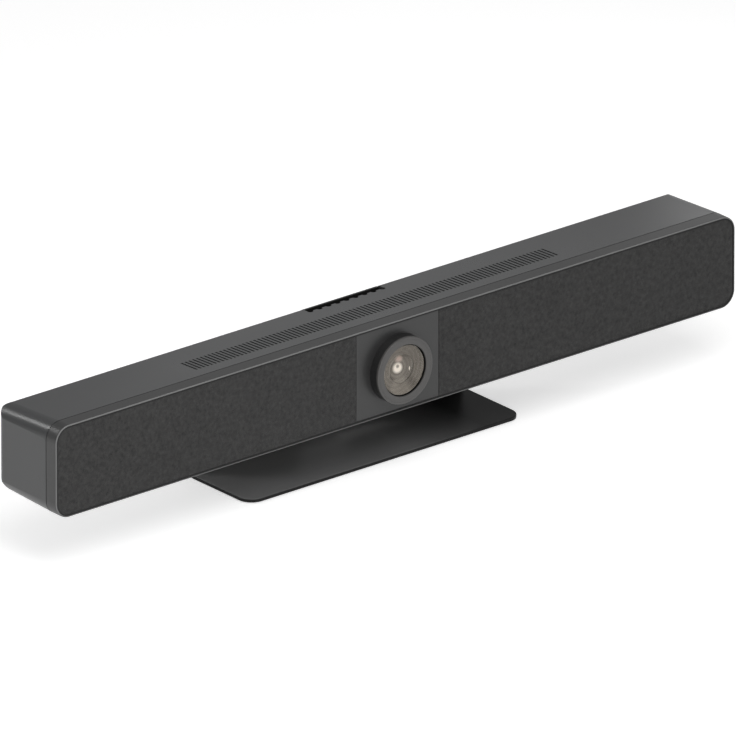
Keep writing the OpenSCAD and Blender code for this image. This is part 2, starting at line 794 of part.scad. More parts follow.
// Chassis plate, main board and heatsink
chassis_h = bar_h - 2 * chassis_inset;
board_h = bar_h - 2 * board_inset;
heatsink_h = board_h - 2 * heatsink_inset;
chassis_y = rear_inner_y - seat - chassis_t;
board_y = chassis_y - board_post_l - board_t;
board_post_end = 8;
board_post_edge = 5;
board_post_x = board_w / 2 - board_post_end;
board_post_inner_x = 66;
board_post_z = chassis_h / 2 - board_post_edge;

module board_post_places() {
    at(0, mid_z) {
        corners(board_post_x, board_post_z) children();
        corners(board_post_inner_x, board_post_z) children();
    }
}

module chassis_plate() {
    color(steel_colour) in_bar() difference() {
        union() {
            at(0, mid_z) along_y(chassis_y, chassis_y + chassis_t) rounded_rect(chassis_w, chassis_h, post_r);
            board_post_places() rod(post_r, chassis_y - board_post_l, chassis_y);
        }
        board_post_places()
            rod(small_screw_r + running, chassis_y - board_post_l - overrun, chassis_y - overrun);
        leaf_screw_places() rod(screw_r + running, chassis_y - overrun, chassis_y + chassis_t + overrun);
    }
}

chip_side = 30;
chip_t = 2;
memory_w = 12;
memory_h = 9;
memory_t = 1.1;
memory_count = 4;

module main_board() {
    color(board_colour) in_bar() difference() {
        union() {
            at(0, mid_z) block(board_w, board_h, board_y, board_y + board_t);
            at(0, mid_z) block(chip_side, chip_side, board_y - chip_t, board_y);
            for (i = [0:memory_count - 1], sx = [-1, 1])
                at(sx * (heatsink_w / 2 + memory_w * (i + 1) * 2), mid_z)
                    block(memory_w, memory_h, board_y - memory_t, board_y);
        }
        board_post_places() rod(small_screw_r + close_seat, board_y - overrun, board_y + board_t + overrun);
    }
}

module board_screws() {
    color(steel_colour) in_bar() board_post_places() mirror_y(board_y)
        screw(board_y, small_head_r, small_head_h, small_screw_r, small_screw_l);
}

module mirror_y(y) {
    translate([0, 2 * y, 0]) mirror([0, 1, 0]) children();
}

heatsink_t = 3.5;
heatsink_y = board_y - chip_t - heatsink_t;

module heatsink() {
    color("#6f7275") in_bar() at(0, mid_z) {
        block(heatsink_w, heatsink_h, heatsink_y, heatsink_y + heatsink_t);
        for (i = [0:fin_count - 1]) at((i / (fin_count - 1) - 1 / 2) * (heatsink_w - fin_t), 0)
            block(fin_t, heatsink_h, heatsink_y - fin_l, heatsink_y);
    }
}

// Fan that blows up through the top vents
fan_rim = 1.4;
fan_bore_r = fan_side / 2 - fan_rim;
fan_hub_r = 9.5;
fan_shaft_r = 1.2;
fan_web = 1;
blade_count = 7;
blade_t = 0.9;
blade_pitch_angle = 32;
fan_bottom_z = fan_top_z - fan_h;
rotor_h = fan_h - 2 * fan_web - seat;

module fan_frame() {
    color(black_colour) in_bar() translate([fan_x, fan_y, fan_bottom_z]) {
        difference() {
            linear_extrude(fan_h) rounded_rect(fan_side, fan_side, post_r);
            translate([0, 0, -overrun]) cylinder(h = fan_h + 2 * overrun, r = fan_bore_r);
            for (sx = [-1, 1], sy = [-1, 1]) translate([sx * fan_hole, sy * fan_hole, -overrun])
                cylinder(h = fan_h + 2 * overrun, r = fan_peg_r + close_seat);
        }
        cylinder(h = fan_web, r = fan_hub_r);
        cylinder(h = fan_h - fan_web - seat, r = fan_shaft_r);
        for (i = [0:2]) rotate(i * 120) translate([0, -fan_web, 0])
            cube([fan_bore_r + fan_web / 2, 2 * fan_web, fan_web]);
    }
}

module fan_rotor() {
    tip_r = fan_bore_r - 2 * seat;
    color("#2a2b2d") in_bar() translate([fan_x, fan_y, fan_bottom_z + fan_web + seat]) difference() {
        union() {
            cylinder(h = rotor_h, r = fan_hub_r);
            intersection() {
                cylinder(h = rotor_h, r = tip_r);
                for (i = [0:blade_count - 1]) rotate(i * 360 / blade_count)
                    translate([0, 0, rotor_h / 2]) rotate([blade_pitch_angle, 0, 0])
                        translate([0, -blade_t / 2, -rotor_h]) cube([fan_bore_r, blade_t, 2 * rotor_h]);
            }
        }
        translate([0, 0, -overrun]) cylinder(h = rotor_h + 2 * overrun, r = fan_shaft_r + running);
    }
}

// Vent insert in the notch: a slotted trough and a strip along the top rear edge
module rear_vent() {
    top = top_z(bar_d) - strip_drop;
    rear = bar_d - seat;
    strip_y = rear - strip_d;
    floor_z = top - trough_drop;
    low = top_z(bar_d) - notch_h + seat;
    front = bar_d - notch_d + seat;
    color(black_colour) in_bar() difference() {
        along_x(seat - notch_w / 2, notch_w / 2 - seat) polygon([[front, floor_z - vent_wall],
            [rear - vent_wall, floor_z - vent_wall], [rear - vent_wall, low], [rear, low],
            [rear, top], [strip_y, top], [strip_y, floor_z], [front, floor_z]]);
        for (i = [0:scallop_count - 1]) at((i - (scallop_count - 1) / 2) * scallop_pitch, 0)
            box(-scallop_r, scallop_r, front + vent_wall, strip_y - overrun,
                floor_z - vent_wall - overrun, floor_z + overrun);
    }
}

// Speakers
enclosure_end_x = half_w - enclosure_end;
enclosure_w = enclosure_end_x - enclosure_x;
enclosure_rear = port_board_y - enclosure_gap;
enclosure_d = enclosure_rear - baffle_y;
basket_d = basket_share * enclosure_d;
magnet_t = magnet_share * enclosure_d;
woofer_r = mid_z - enclosure_inset - woofer_margin;
driver_lip = 2.4;
driver_hole_r = woofer_r - driver_lip;
roll_r = roll_w / 2;
roll_edge = 2;
roll_mid_r = driver_hole_r - roll_edge - roll_r;
cone_t = 0.9;
cone_share = 0.6;
cone_d = cone_share * basket_d;
pole_gap = 1.1;

module enclosure() {
    w = enclosure_wall;
    z0 = enclosure_inset;
    z1 = bar_h - enclosure_inset;
    color("#2b2b2d") in_bar() difference() {
        box(enclosure_x, enclosure_end_x, baffle_y, enclosure_rear, z0, z1);
        box(enclosure_x + w, enclosure_end_x - w, baffle_y + baffle_t, enclosure_rear - w, z0 + w, z1 - w);
        woofer_place() rod(woofer_r + close_seat, baffle_y - overrun, baffle_y + flange_t + running);
        woofer_place() rod(driver_hole_r + close_seat, baffle_y - overrun, baffle_y + baffle_t + overrun);
        tweeter_place() rod(tweeter_r + close_seat, baffle_y - overrun, baffle_y + flange_t + running);
        tweeter_place()
            rod(tweeter_r - flange_t + close_seat, baffle_y - overrun, baffle_y + baffle_t + overrun);
    }
}

basket_back_r = magnet_r;
basket_web = 1.5;
window_count = 6;
window_wide = 14;

module basket() {
    y = baffle_y;
    color("#3a3a3c") in_bar() woofer_place() difference() {
        turned([[roll_mid_r + roll_r, y], [woofer_r, y], [woofer_r, y + flange_t],
            [driver_hole_r, y + flange_t], [basket_back_r, y + basket_d - basket_web],
            [basket_back_r, y + basket_d], [coil_r + pole_gap, y + basket_d],
            [coil_r + pole_gap, y + basket_d - basket_web],
            [basket_back_r - basket_web, y + basket_d - basket_web], [roll_mid_r + roll_r, y + flange_t]]);
        for (i = [0:window_count - 1]) rotate([0, i * 360 / window_count, 0])
            box(basket_back_r, woofer_r, y + baffle_t, y + basket_d - 2 * basket_web,
                -window_wide / 2, window_wide / 2);
    }
}

module magnet() {
    y = baffle_y + basket_d;
    color("#55565a") in_bar() woofer_place() turned([[coil_r + pole_gap, y], [magnet_r, y],
        [magnet_r, y + magnet_t + basket_web], [0, y + magnet_t + basket_web],
        [0, y - basket_web], [coil_r - cone_t - pole_gap, y - basket_web],
        [coil_r - cone_t - pole_gap, y + magnet_t], [coil_r + pole_gap, y + magnet_t]]);
}

module cone() {
    y = baffle_y;
    r = roll_mid_r - roll_r;
    color("#232325") in_bar() woofer_place() turned([[0, y + cone_d - 4 * cone_t],
        [coil_r / 2, y + cone_d - 3 * cone_t], [coil_r, y + cone_d - cone_t], [r, y], [r, y + cone_t],
        [coil_r, y + cone_d], [coil_r, y + basket_d + magnet_t / 2],
        [coil_r - cone_t, y + basket_d + magnet_t / 2], [coil_r - cone_t, y + cone_d],
        [0, y + cone_d - 3 * cone_t]]);
}

module surround() {
    y = baffle_y;
    lip = 1.5;
    color("#1d1d1e") in_bar() woofer_place() rotate([-90, 0, 0]) rotate_extrude() {
        translate([roll_mid_r, y]) intersection() {
            difference() {
                circle(roll_r);
                circle(roll_r - cone_t);
            }
            translate([-roll_r, -roll_r]) square([2 * roll_r, roll_r]);
        }
        translate([roll_mid_r - roll_r - lip, y - cone_t]) square([lip + cone_t, cone_t]);
        translate([roll_mid_r + roll_r - cone_t, y - cone_t]) square([lip + cone_t, cone_t]);
    }
}

tweeter_l = 12;
tweeter_dome_r = 8;

module tweeter() {
    y = baffle_y;
    body_r = tweeter_r - 2 * flange_t;
    color("#2f3033") in_bar() tweeter_place() turned([[0, y - flange_t / 2],
        [tweeter_dome_r / 2, y - flange_t / 4], [tweeter_dome_r, y + flange_t / 2],
        [tweeter_dome_r, y], [tweeter_r, y], [tweeter_r, y + flange_t],
        [body_r, y + flange_t], [body_r, y + tweeter_l], [0, y + tweeter_l]]);
}

// Small boards
capsule_t = 1;

module mic_board() {
    rear = ledge_y + board_t;
    color(board_colour) in_bar() {
        box(mic_x, mic_x + mic_l, ledge_y, rear, mic_z, mic_z + mic_h);
        mic_places() box(-mic_h / 4, mic_h / 4, rear, rear + capsule_t, -mic_h / 6, mic_h / 6);
    }
}

antenna_inset = 8;
antenna_l = 34;
antenna_y = rear_inner_y - rear_corner_r - antenna_inset - antenna_l;
antenna_h = 36;
antenna_t = 0.8;

module antenna() {
    x = end_x(antenna_y + antenna_l) - wall - close_seat;
    color(board_colour) in_bar() box(x - antenna_t, x, antenna_y, antenna_y + antenna_l,
        mid_z - antenna_h / 2, mid_z + antenna_h / 2);
}

// Ports: widths and heights of the sockets, and their places across the cable bay
network_w = 16;
network_h = 13.5;
display_w = 15;
display_h = 6.4;
data_w = 14.4;
data_h = 7;
inlet_r = 6;
shell_t = 0.7;
network_share = 0.14;
display_shares = [0.34, 0.52];
data_share = 0.71;
data_gap = 4;
inlet_share = 0.88;
socket_back = 3;
tongue_share = 0.6;

function port_x(share) = bay_x + share * bay_w;

module port_board() {
    color(board_colour) in_bar() box(bay_x, bay_x + bay_w, port_board_y, port_board_y + board_t,
        bay_z + post_r, bay_z + bay_h - post_r);
}

socket_y0 = port_board_y + board_t;
socket_y1 = bay_floor_y - close_seat;

module socket(w, h, tongue) {
    difference() {
        block(w, h, socket_y0, socket_y1);
        block(w - 2 * shell_t, h - 2 * shell_t, socket_y0 + socket_back, socket_y1 + overrun);
    }
    if (tongue > 0) block(w * tongue_share, tongue, socket_y0 + shell_t, socket_y1 - socket_back);
}

module network_socket() {
    color(steel_colour) in_bar() at(port_x(network_share), mid_z) socket(network_w, network_h, 0);
}

display_tongue_t = 1.2;
data_tongue_t = 1.8;

module display_sockets() {
    color(steel_colour) in_bar() for (share = display_shares) at(port_x(share), mid_z)
        socket(display_w, display_h, display_tongue_t);
}

module data_places() {
    for (sz = [-1, 1]) at(port_x(data_share), mid_z + sz * (data_h + data_gap) / 2) children();
}

module data_sockets() {
    color(steel_colour) in_bar() data_places() socket(data_w, data_h, data_tongue_t);
}

inlet_bore_r = 3.2;
inlet_pin_r = 1;

module power_inlet() {
    color(black_colour) in_bar() at(port_x(inlet_share), mid_z) {
        difference() {
            rod(inlet_r, socket_y0, socket_y1);
            rod(inlet_bore_r, socket_y0 + socket_back, socket_y1 + overrun);
        }
        rod(inlet_pin_r, socket_y0 + shell_t, socket_y1 - socket_back);
    }
}

module socket_cut(w, h) {
    block(w + 2 * close_seat, h + 2 * close_seat, bay_floor_y - wall - overrun, bay_floor_y + overrun);
}

module socket_cuts() {
    at(port_x(network_share), mid_z) socket_cut(network_w, network_h);
    for (share = display_shares) at(port_x(share), mid_z) socket_cut(display_w, display_h);
    data_places() socket_cut(data_w, data_h);
    at(port_x(inlet_share), mid_z)
        rod(inlet_r + close_seat, bay_floor_y - wall - overrun, bay_floor_y + overrun);
}

// Power button, which presses forward into the switch on its board
button_proud = 0.4;
switch_side = 6;
stem_r = 1.6;
flange_y = rear_inner_y - seat;
switch_t = 4;
switch_y = button_board_y + board_t + switch_t;

module power_button() {
    color("#3b3c3f") in_bar() at(-button_x, mid_z) {
        rod(button_r, flange_y - button_flange_t, bar_d + button_proud);
        rod(button_flange_r, flange_y - button_flange_t, flange_y);
        rod(stem_r, switch_y + seat + button_travel, flange_y);
    }
}

module button_board() {
    color(board_colour) in_bar() at(-button_x, mid_z) {
        block(2 * (button_post_x + post_r), 2 * switch_side, button_board_y, button_board_y + board_t);
        block(switch_side, switch_side, button_board_y + board_t, switch_y);
    }
}

// Threaded inserts and case screws
module wall_inserts() {
    color(brass_colour) in_bar() mount_places() difference() {
        rod(mount_r + insert_wall, bar_d - mount_l, bar_d);
        rod(mount_r, bar_d - mount_l - overrun, bar_d + overrun);
    }
}

case_screw_l = 16;
case_head_r = 3;

module case_screws() {
    color(black_colour) in_bar() case_places()
        screw(case_post_y + boss_floor_t, case_head_r, screw_head_h, case_shank_r, case_screw_l);
}

// Hinges between the bar and the stand
leaf_edge = 6.5;
leaf_corner_r = 3;
counterbore = 1.2;
leaf_head_h = counterbore - close_seat;
knuckle_side = 0.4;
pin_head_r = 4.2;
pin_head_t = 1.4;
pin_reach = knuckle_l / 2 + knuckle_side + ear_l;

module knuckle(x0, x1) {
    translate([x0, hinge_y, hinge_z]) rotate([0, 90, 0]) cylinder(h = x1 - x0, r = knuckle_r);
}

module pin_bore(r) {
    translate([-pin_reach - overrun, hinge_y, hinge_z]) rotate([0, 90, 0])
        cylinder(h = 2 * (pin_reach + overrun), r = r);
}

module bar_leaf() {
    color(stand_colour) in_bar() at(hinge_x, 0) difference() {
        union() {
            at(0, hinge_z) along_y(bar_d, bar_d + leaf_t) rounded_rect(leaf_w, leaf_h, leaf_corner_r);
            knuckle(-knuckle_l / 2, knuckle_l / 2);
            box(-knuckle_l / 2, knuckle_l / 2, bar_d, hinge_y, hinge_z - knuckle_r, hinge_z + knuckle_r);
        }
        pin_bore(pin_r + running);
        leaf_corners() rod(screw_hole_r, bar_d - overrun, bar_d + leaf_t + overrun);
        leaf_corners() rod(screw_head_r + close_seat, bar_d + leaf_t - counterbore, bar_d + leaf_t + overrun);
    }
}

leaf_screw_l = 8;

module leaf_screws() {
    color(black_colour) in_bar() leaf_screw_places()
        screw(bar_d + leaf_t - counterbore, screw_head_r, leaf_head_h, screw_r, leaf_screw_l);
}

module stand_leaf() {
    ear_x = knuckle_l / 2 + knuckle_side;
    color(stand_colour) in_bar() at(hinge_x, 0) difference() {
        union() {
            at(0, hinge_z) along_y(upright_y - leaf_t, upright_y) rounded_rect(leaf_w, leaf_h, leaf_corner_r);
            sides() knuckle(ear_x, ear_x + ear_l);
            sides() box(ear_x, ear_x + ear_l, hinge_y, upright_y, hinge_z - knuckle_r, hinge_z + knuckle_r);
        }
        pin_bore(pin_r + running);
        leaf_corners() rod(screw_r + running, upright_y - leaf_t - overrun, upright_y + overrun);
    }
}

module hinge_pin() {
    color(steel_colour) in_bar() translate([hinge_x, hinge_y, hinge_z]) rotate([0, 90, 0]) {
        translate([0, 0, -pin_reach]) cylinder(h = 2 * pin_reach + seat, r = pin_r);
        translate([0, 0, pin_reach + close_seat]) cylinder(h = pin_head_t, r = pin_head_r);
        translate([0, 0, -pin_reach - close_seat - pin_head_t]) cylinder(h = pin_head_t, r = pin_head_r);
        translate([0, 0, -pin_reach - close_seat - overrun / 2]) cylinder(h = overrun, r = pin_r);
    }
}

module stand_screws() {
    color(black_colour) in_bar() leaf_screw_places()
        screw(upright_y + stand_t, screw_head_r, screw_head_h, screw_r, stand_t + leaf_t - seat);
}

// Stand: a plate on the table, bent up behind the bar
plate_z = foot_h;
plate_rear_y = upright_y - bend_r;
plate_d = plate_rear_y - stand_front;
upright_top = bar_lift + hinge_z + leaf_h / 2 + leaf_edge;
bend_z = plate_z + stand_t + bend_r;
window_rise = 10;
cable_z = bend_z + window_h / 2 + window_rise;
window_corner_r = 6;

module plate() {
    core = stand_corner_r - overrun;
    long_d = plate_d + 2 * stand_corner_r;
    difference() {
        translate([0, stand_front + long_d / 2, plate_z]) {
            rotate([90, 0, 0])
                ring_sweep(stand_w, long_d, stand_corner_r, [[0, 0], [stand_corner_r / 2, 0],
                    [stand_corner_r / 2, stand_t], [stand_bevel, stand_t], [0, stand_t - stand_bevel]]);
            linear_extrude(stand_t) rounded_rect(stand_w - core, long_d - core, stand_corner_r - core / 2);
        }
        box(-stand_w, stand_w, plate_rear_y, upright_y + stand_w, -overrun, plate_z + stand_t + overrun);
    }
}

module upright_section() {
    y1 = upright_y + stand_t;
    y0 = upright_y - bend_r;
    translate([upright_y, bend_z]) square([stand_t, upright_top - bend_z]);
    translate([y0 - overrun, plate_z]) square([overrun, stand_t]);
    intersection() {
        translate([y0, bend_z]) difference() {
            circle(bend_r + stand_t);
            circle(bend_r);
        }
        translate([y0, plate_z]) square([y1 - y0, bend_z - plate_z]);
    }
}

module stand_plate() {
    color(stand_colour) translate([0, -middle_y, 0]) {
        plate();
        difference() {
            intersection() {
                along_x(-stand_w / 2, stand_w / 2) upright_section();
                along_y(0, upright_y + stand_t + overrun)
                    smooth_outline([[-stand_w / 2, 0], [stand_w / 2, 0], [stand_w / 2, upright_top],
                        [-stand_w / 2, upright_top]], [0, 0, upright_corner_r, upright_corner_r]);
            }
            along_y(upright_y - overrun, upright_y + stand_t + overrun) at_outline(0, cable_z)
                rounded_rect(window_w, window_h, window_corner_r);
            translate([0, 0, bar_lift]) leaf_screw_places()
                rod(screw_hole_r, upright_y - overrun, upright_y + stand_t + overrun);
        }
    }
}

foot_w = 50;
foot_d = 10;
foot_edge = 10;
foot_corner_r = 4.5;

module feet() {
    y0 = stand_front + foot_edge + foot_d / 2;
    y1 = stand_front + plate_d - foot_edge - foot_d / 2;
    color("#151515") translate([0, -middle_y, 0]) for (y = [y0, y1], sx = [-1, 1])
        translate([sx * (stand_w / 2 - foot_edge - foot_w / 2), y, 0])
            linear_extrude(foot_h) rounded_rect(foot_w, foot_d, foot_corner_r);
}

module on_left() {
    mirror([1, 0, 0]) children();
}

front_frame();
rear_housing();
on_left() grille();  // left_grille
grille();  // right_grille
on_left() grille_carrier();  // left_grille_carrier
grille_carrier();  // right_grille_carrier
centre_panel();
lens_ring();
lens_hood();
cover_glass();
lens_barrel();
front_lens();
rear_lens();
lens_holder();
image_sensor();
sensor_board();
camera_bracket();
chassis_plate();
main_board();
heatsink();
fan_frame();
fan_rotor();
rear_vent();
on_left() enclosure();  // left_enclosure
enclosure();  // right_enclosure
on_left() basket();  // left_basket
basket();  // right_basket
on_left() magnet();  // left_magnet
magnet();  // right_magnet
on_left() cone();  // left_cone
cone();  // right_cone
on_left() surround();  // left_surround
surround();  // right_surround
on_left() tweeter();  // left_tweeter
tweeter();  // right_tweeter
on_left() mic_board();  // left_mic_board
mic_board();  // right_mic_board
on_left() antenna();  // left_antenna
antenna();  // right_antenna
port_board();
network_socket();
display_sockets();
data_sockets();
power_inlet();
power_button();
button_board();
wall_inserts();
case_screws();
camera_screws();
board_screws();
stand_plate();
on_left() stand_leaf();  // left_stand_leaf
stand_leaf();  // right_stand_leaf
on_left() bar_leaf();  // left_bar_leaf
bar_leaf();  // right_bar_leaf
on_left() hinge_pin();  // left_hinge_pin
hinge_pin();  // right_hinge_pin
leaf_screws();
stand_screws();
feet();
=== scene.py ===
"""Looks for a conference camera: a long video bar with a centred lens, tilting on a bent steel table stand.

Metres throughout, +Z up, the lens looks towards -Y. Lengths in the classes are millimetres in the bar's own
frame: across, back from the front rim, and up from the bar's underside.
"""

import logging
import math
from dataclasses import dataclass, field
from enum import Enum
from typing import Callable, Iterable, Optional, Sequence, Union

import bmesh
import bpy
import numpy as np
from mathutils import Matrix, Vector
from numpy.typing import NDArray

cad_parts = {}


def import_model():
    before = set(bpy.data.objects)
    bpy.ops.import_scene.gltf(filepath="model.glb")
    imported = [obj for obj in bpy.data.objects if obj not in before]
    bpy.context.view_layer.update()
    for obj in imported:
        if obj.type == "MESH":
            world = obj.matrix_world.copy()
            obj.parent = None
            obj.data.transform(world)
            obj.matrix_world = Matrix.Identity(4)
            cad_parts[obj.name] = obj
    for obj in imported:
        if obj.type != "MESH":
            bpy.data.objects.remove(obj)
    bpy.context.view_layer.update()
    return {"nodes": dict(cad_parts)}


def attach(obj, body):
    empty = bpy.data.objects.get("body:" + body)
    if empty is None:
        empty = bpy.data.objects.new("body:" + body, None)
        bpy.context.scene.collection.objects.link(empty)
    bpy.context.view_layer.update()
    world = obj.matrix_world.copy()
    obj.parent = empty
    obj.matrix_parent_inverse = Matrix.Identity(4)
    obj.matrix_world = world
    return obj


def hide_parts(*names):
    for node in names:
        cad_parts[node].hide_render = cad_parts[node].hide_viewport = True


LOG = logging.getLogger("conference_camera")
Array = NDArray[np.float64]
Colour = tuple[float, float, float]
Point = tuple[float, float, float]
Profile = Union[Array, Sequence[Sequence[float]]]
Value = Union[float, Sequence[float], "Wire"]

MM = 0.001
BAR_BACK = -53.875
BAR_UP = 60.3
BAR_W, BAR_H, BAR_D = 890.0, 100.0, 93.5
BAR_CORNER = 17.5
MID_Z = BAR_H / 2
LENS_Z = 49.0
HINGE = (110.0, 104.0, 50.0)
SIDES = (-1, 1)
WELD = 2e-7
SLIVER = 1e-7


class Axis(Enum):
    """The way a turned piece points: the axis, then the two directions its circle is drawn in."""

    BACK = ((0, 1, 0), (1, 0, 0), (0, 0, 1))
    RIGHT = ((1, 0, 0), (0, 1, 0), (0, 0, 1))


class Body(Enum):
    """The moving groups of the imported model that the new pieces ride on."""

    STAND = "stand"
    BAR = "bar"
    BUTTON = "button"


def placed(points: Array) -> Array:
    """Moves points from the bar's own millimetres into the object's frame in metres.

    Args:
        points: an array whose last axis is across, back and up.

    Returns:
        The same array in metres, with the bar lifted onto its stand.
    """
    return (np.asarray(points, float) + np.array([0.0, BAR_BACK, BAR_UP])) * MM


# Shader graphs


def math_node(operation: str, swapped: bool = False) -> Callable[..., "Wire"]:
    """Makes a method that adds one Math node.

    Args:
        operation: the Math node's operation.
        swapped: whether the wire comes after the other value.

    Returns:
        The method, which takes the other value where the operation has one.
    """
    def method(wire: "Wire", *other: Value) -> "Wire":
        """Adds the node."""
        values = (*other, wire) if swapped else (wire, *other)
        return wire.graph.node("ShaderNodeMath", {"operation": operation}, dict(enumerate(values)))

    return method


class Wire:
    """A node's output that takes part in sums: part is what is left after the whole number, over is 1 above
    a limit and else 0, and most and least are the larger and the smaller of two."""

    __add__ = __radd__ = math_node("ADD")
    __sub__ = math_node("SUBTRACT")
    __rsub__ = math_node("SUBTRACT", swapped=True)
    __mul__ = __rmul__ = math_node("MULTIPLY")
    __truediv__ = math_node("DIVIDE")
    __pow__ = math_node("POWER")
    __abs__ = math_node("ABSOLUTE")
    sine = math_node("SINE")
    cosine = math_node("COSINE")
    part = math_node("FRACT")
    whole = math_node("FLOOR")
    over = math_node("GREATER_THAN")
    most = math_node("MAXIMUM")
    least = math_node("MINIMUM")

    def __init__(self, graph: "Graph", node: bpy.types.Node, key: Union[int, str] = 0) -> None:
        """Keeps the node and which of its outputs this is.

        Args:
            graph: the nodes that it is one of.
            node: the node.
            key: the output's number or name.
        """
        self.graph = graph
        self.node = node
        self.key = key

    def out(self, key: Union[int, str]) -> "Wire":
        """Another output of the same node."""
        return Wire(self.graph, self.node, key)

    def wave(self) -> "Wire":
        """A smooth wave from 0 to 1 that repeats at every whole number."""
        return (self * math.tau).sine() * 0.5 + 0.5

    def held(self, low: float, high: float) -> "Wire":
        """Stretches the range from low to high over 0 to 1 and holds what lies outside."""
        return ((self - low) / (high - low)).least(1.0).most(0.0)

    def ringed(self, middle: float, half: float) -> "Wire":
        """1 at one value, falling evenly to 0 at a distance either side."""
        return 1 - (abs(self - middle) / half).held(0.0, 1.0)


class Graph:
    """One material's nodes, added through a single method."""

    def __init__(self, tree: bpy.types.NodeTree) -> None:
        """Starts from an empty tree."""
        self.tree = tree
        tree.nodes.clear()

    def node(self, kind: str, settings: Optional[dict] = None, inputs: Optional[dict] = None) -> Wire:
        """Adds a node.

        Args:
            kind: the node's type.
            settings: its properties, set before its sockets.
            inputs: values or wires, by the socket's name or number.

        Returns:
            The node's first output.
        """
        made = self.tree.nodes.new(kind)
        for name, value in (settings or {}).items():
            setattr(made, name, value)
        for key, value in (inputs or {}).items():
            if isinstance(value, Wire):
                self.tree.links.new(value.node.outputs[value.key], made.inputs[key])
            else:
                made.inputs[key].default_value = value
        return Wire(self, made)

    def place(self) -> Wire:
        """The point on the object, in metres."""
        return self.node("ShaderNodeTexCoord").out("Object")

    def axes(self, vector: Wire) -> tuple[Wire, Wire, Wire]:
        """A vector's three parts."""
        split = self.node("ShaderNodeSeparateXYZ", inputs={0: vector})
        return split, split.out(1), split.out(2)

    def joined(self, x: Value, y: Value, z: Value) -> Wire:
        """Three numbers as one vector."""
        return self.node("ShaderNodeCombineXYZ", inputs={0: x, 1: y, 2: z})

    def stretched(self, vector: Wire, by: Sequence[float]) -> Wire:
        """A vector scaled by a different number each way."""
        return self.node("ShaderNodeVectorMath", {"operation": "MULTIPLY"}, {0: vector, 1: by})

    def noise(self, vector: Wire, scale: float, detail: float = 2.0, rough: float = 0.5) -> Wire:
        """Soft noise from 0 to 1."""
        return self.node("ShaderNodeTexNoise", {"noise_dimensions": "3D"},
                         {"Vector": vector, "Scale": scale, "Detail": detail, "Roughness": rough})

    def cells(self, vector: Wire, scale: float) -> Wire:
        """Distance to the nearest of many scattered points."""
        return self.node("ShaderNodeTexVoronoi", {"feature": "F1"}, {"Vector": vector, "Scale": scale})

    def tint(self, mask: Value, low: Union[Wire, Colour], high: Colour) -> Wire:
        """A colour between two by a mask; the first may be a wire."""
        first = low if isinstance(low, Wire) else (*low, 1.0)
        return self.node("ShaderNodeMix", {"data_type": "RGBA"}, {0: mask, 6: first, 7: (*high, 1.0)}).out(2)

    def shades(self, mask: Value, colour: Colour, low: float, high: float) -> Wire:
        """A colour between two multiples of itself by a mask."""
        return self.tint(mask, scaled(colour, low), scaled(colour, high))

    def mixed(self, share: Value, one: Wire, two: Wire) -> Wire:
        """Two shaders, of which the second shows where the share is 1."""
        return self.node("ShaderNodeMixShader", inputs={0: share, 1: one, 2: two})

    def bump(self, height: Wire, depth: float) -> Wire:
        """A normal from a height from 0 to 1, times a depth in metres."""
        return self.node("ShaderNodeBump", inputs={"Strength": 1.0, "Distance": depth, "Height": height})

    def surface(self, **sockets: Value) -> Wire:
        """The Principled shader, its sockets named with underscores for spaces."""
        named = {name.replace("_", " "): value for name, value in sockets.items()}
        return self.node("ShaderNodeBsdfPrincipled", inputs=named)

    def finish(self, shader: Wire) -> None:
        """Joins a shader to the material's output."""
        self.node("ShaderNodeOutputMaterial", inputs={0: shader})


def grey(level: float, warm: float = 0.0) -> Colour:
    """A grey, linear, pushed towards red by a share of itself."""
    return level * (1 + warm), level, level * (1 - warm)


def scaled(colour: Colour, by: float) -> Colour:
    """A colour made lighter or darker by one factor."""
    red, green, blue = colour
    return red * by, green * by, blue * by


@dataclass(frozen=True)
class Finish:
    """What every finish has: a name, and a way to fill a graph."""

    name: str

    def fill(self, graph: Graph) -> Wire:
        """The finish's shader."""
        raise NotImplementedError

    def material(self) -> bpy.types.Material:
        """Makes the Blender material, once for each name.

        Returns:
            The material.
        """
        found = bpy.data.materials.get(self.name)
        if found is None:
            found = bpy.data.materials.new(self.name)
            found.use_nodes = True
            graph = Graph(found.node_tree)
            graph.finish(self.fill(graph))
        return found


@dataclass(frozen=True)
class Moulding(Finish):
    """Moulded plastic: a fine spark-eroded grain, with broad drifts of tone and sheen."""

    colour: Colour = (0.04, 0.04, 0.042)
    roughness: float = 0.42
    grain: float = 0.45
    depth: float = 0.012
    drift: float = 0.06
    specular: float = 0.5

    def fill(self, graph: Graph) -> Wire:
        """Grain is two noises, one of them in small cells; the drift is one broad noise.

        Args:
            graph: the material's nodes.

        Returns:
            The shader.
        """
        at = graph.place()
        fine = graph.noise(at, 1 / (self.grain * MM), 3.0, 0.6)
        pits = graph.cells(at, 0.8 / (self.grain * MM))
        grain = fine * 0.6 + pits * 0.4
        broad = graph.noise(at, 9.0, 2.0)
        tone = (broad - 0.5) * (2 * self.drift) + (fine - 0.5) * 0.10
        return graph.surface(Base_Color=graph.shades(tone + 0.5, self.colour, 0.8, 1.2),
                             Roughness=(broad - 0.5) * 0.10 + (grain - 0.5) * 0.12 + self.roughness,
                             Specular_IOR_Level=self.specular,
                             Normal=graph.bump(grain, self.depth * MM))


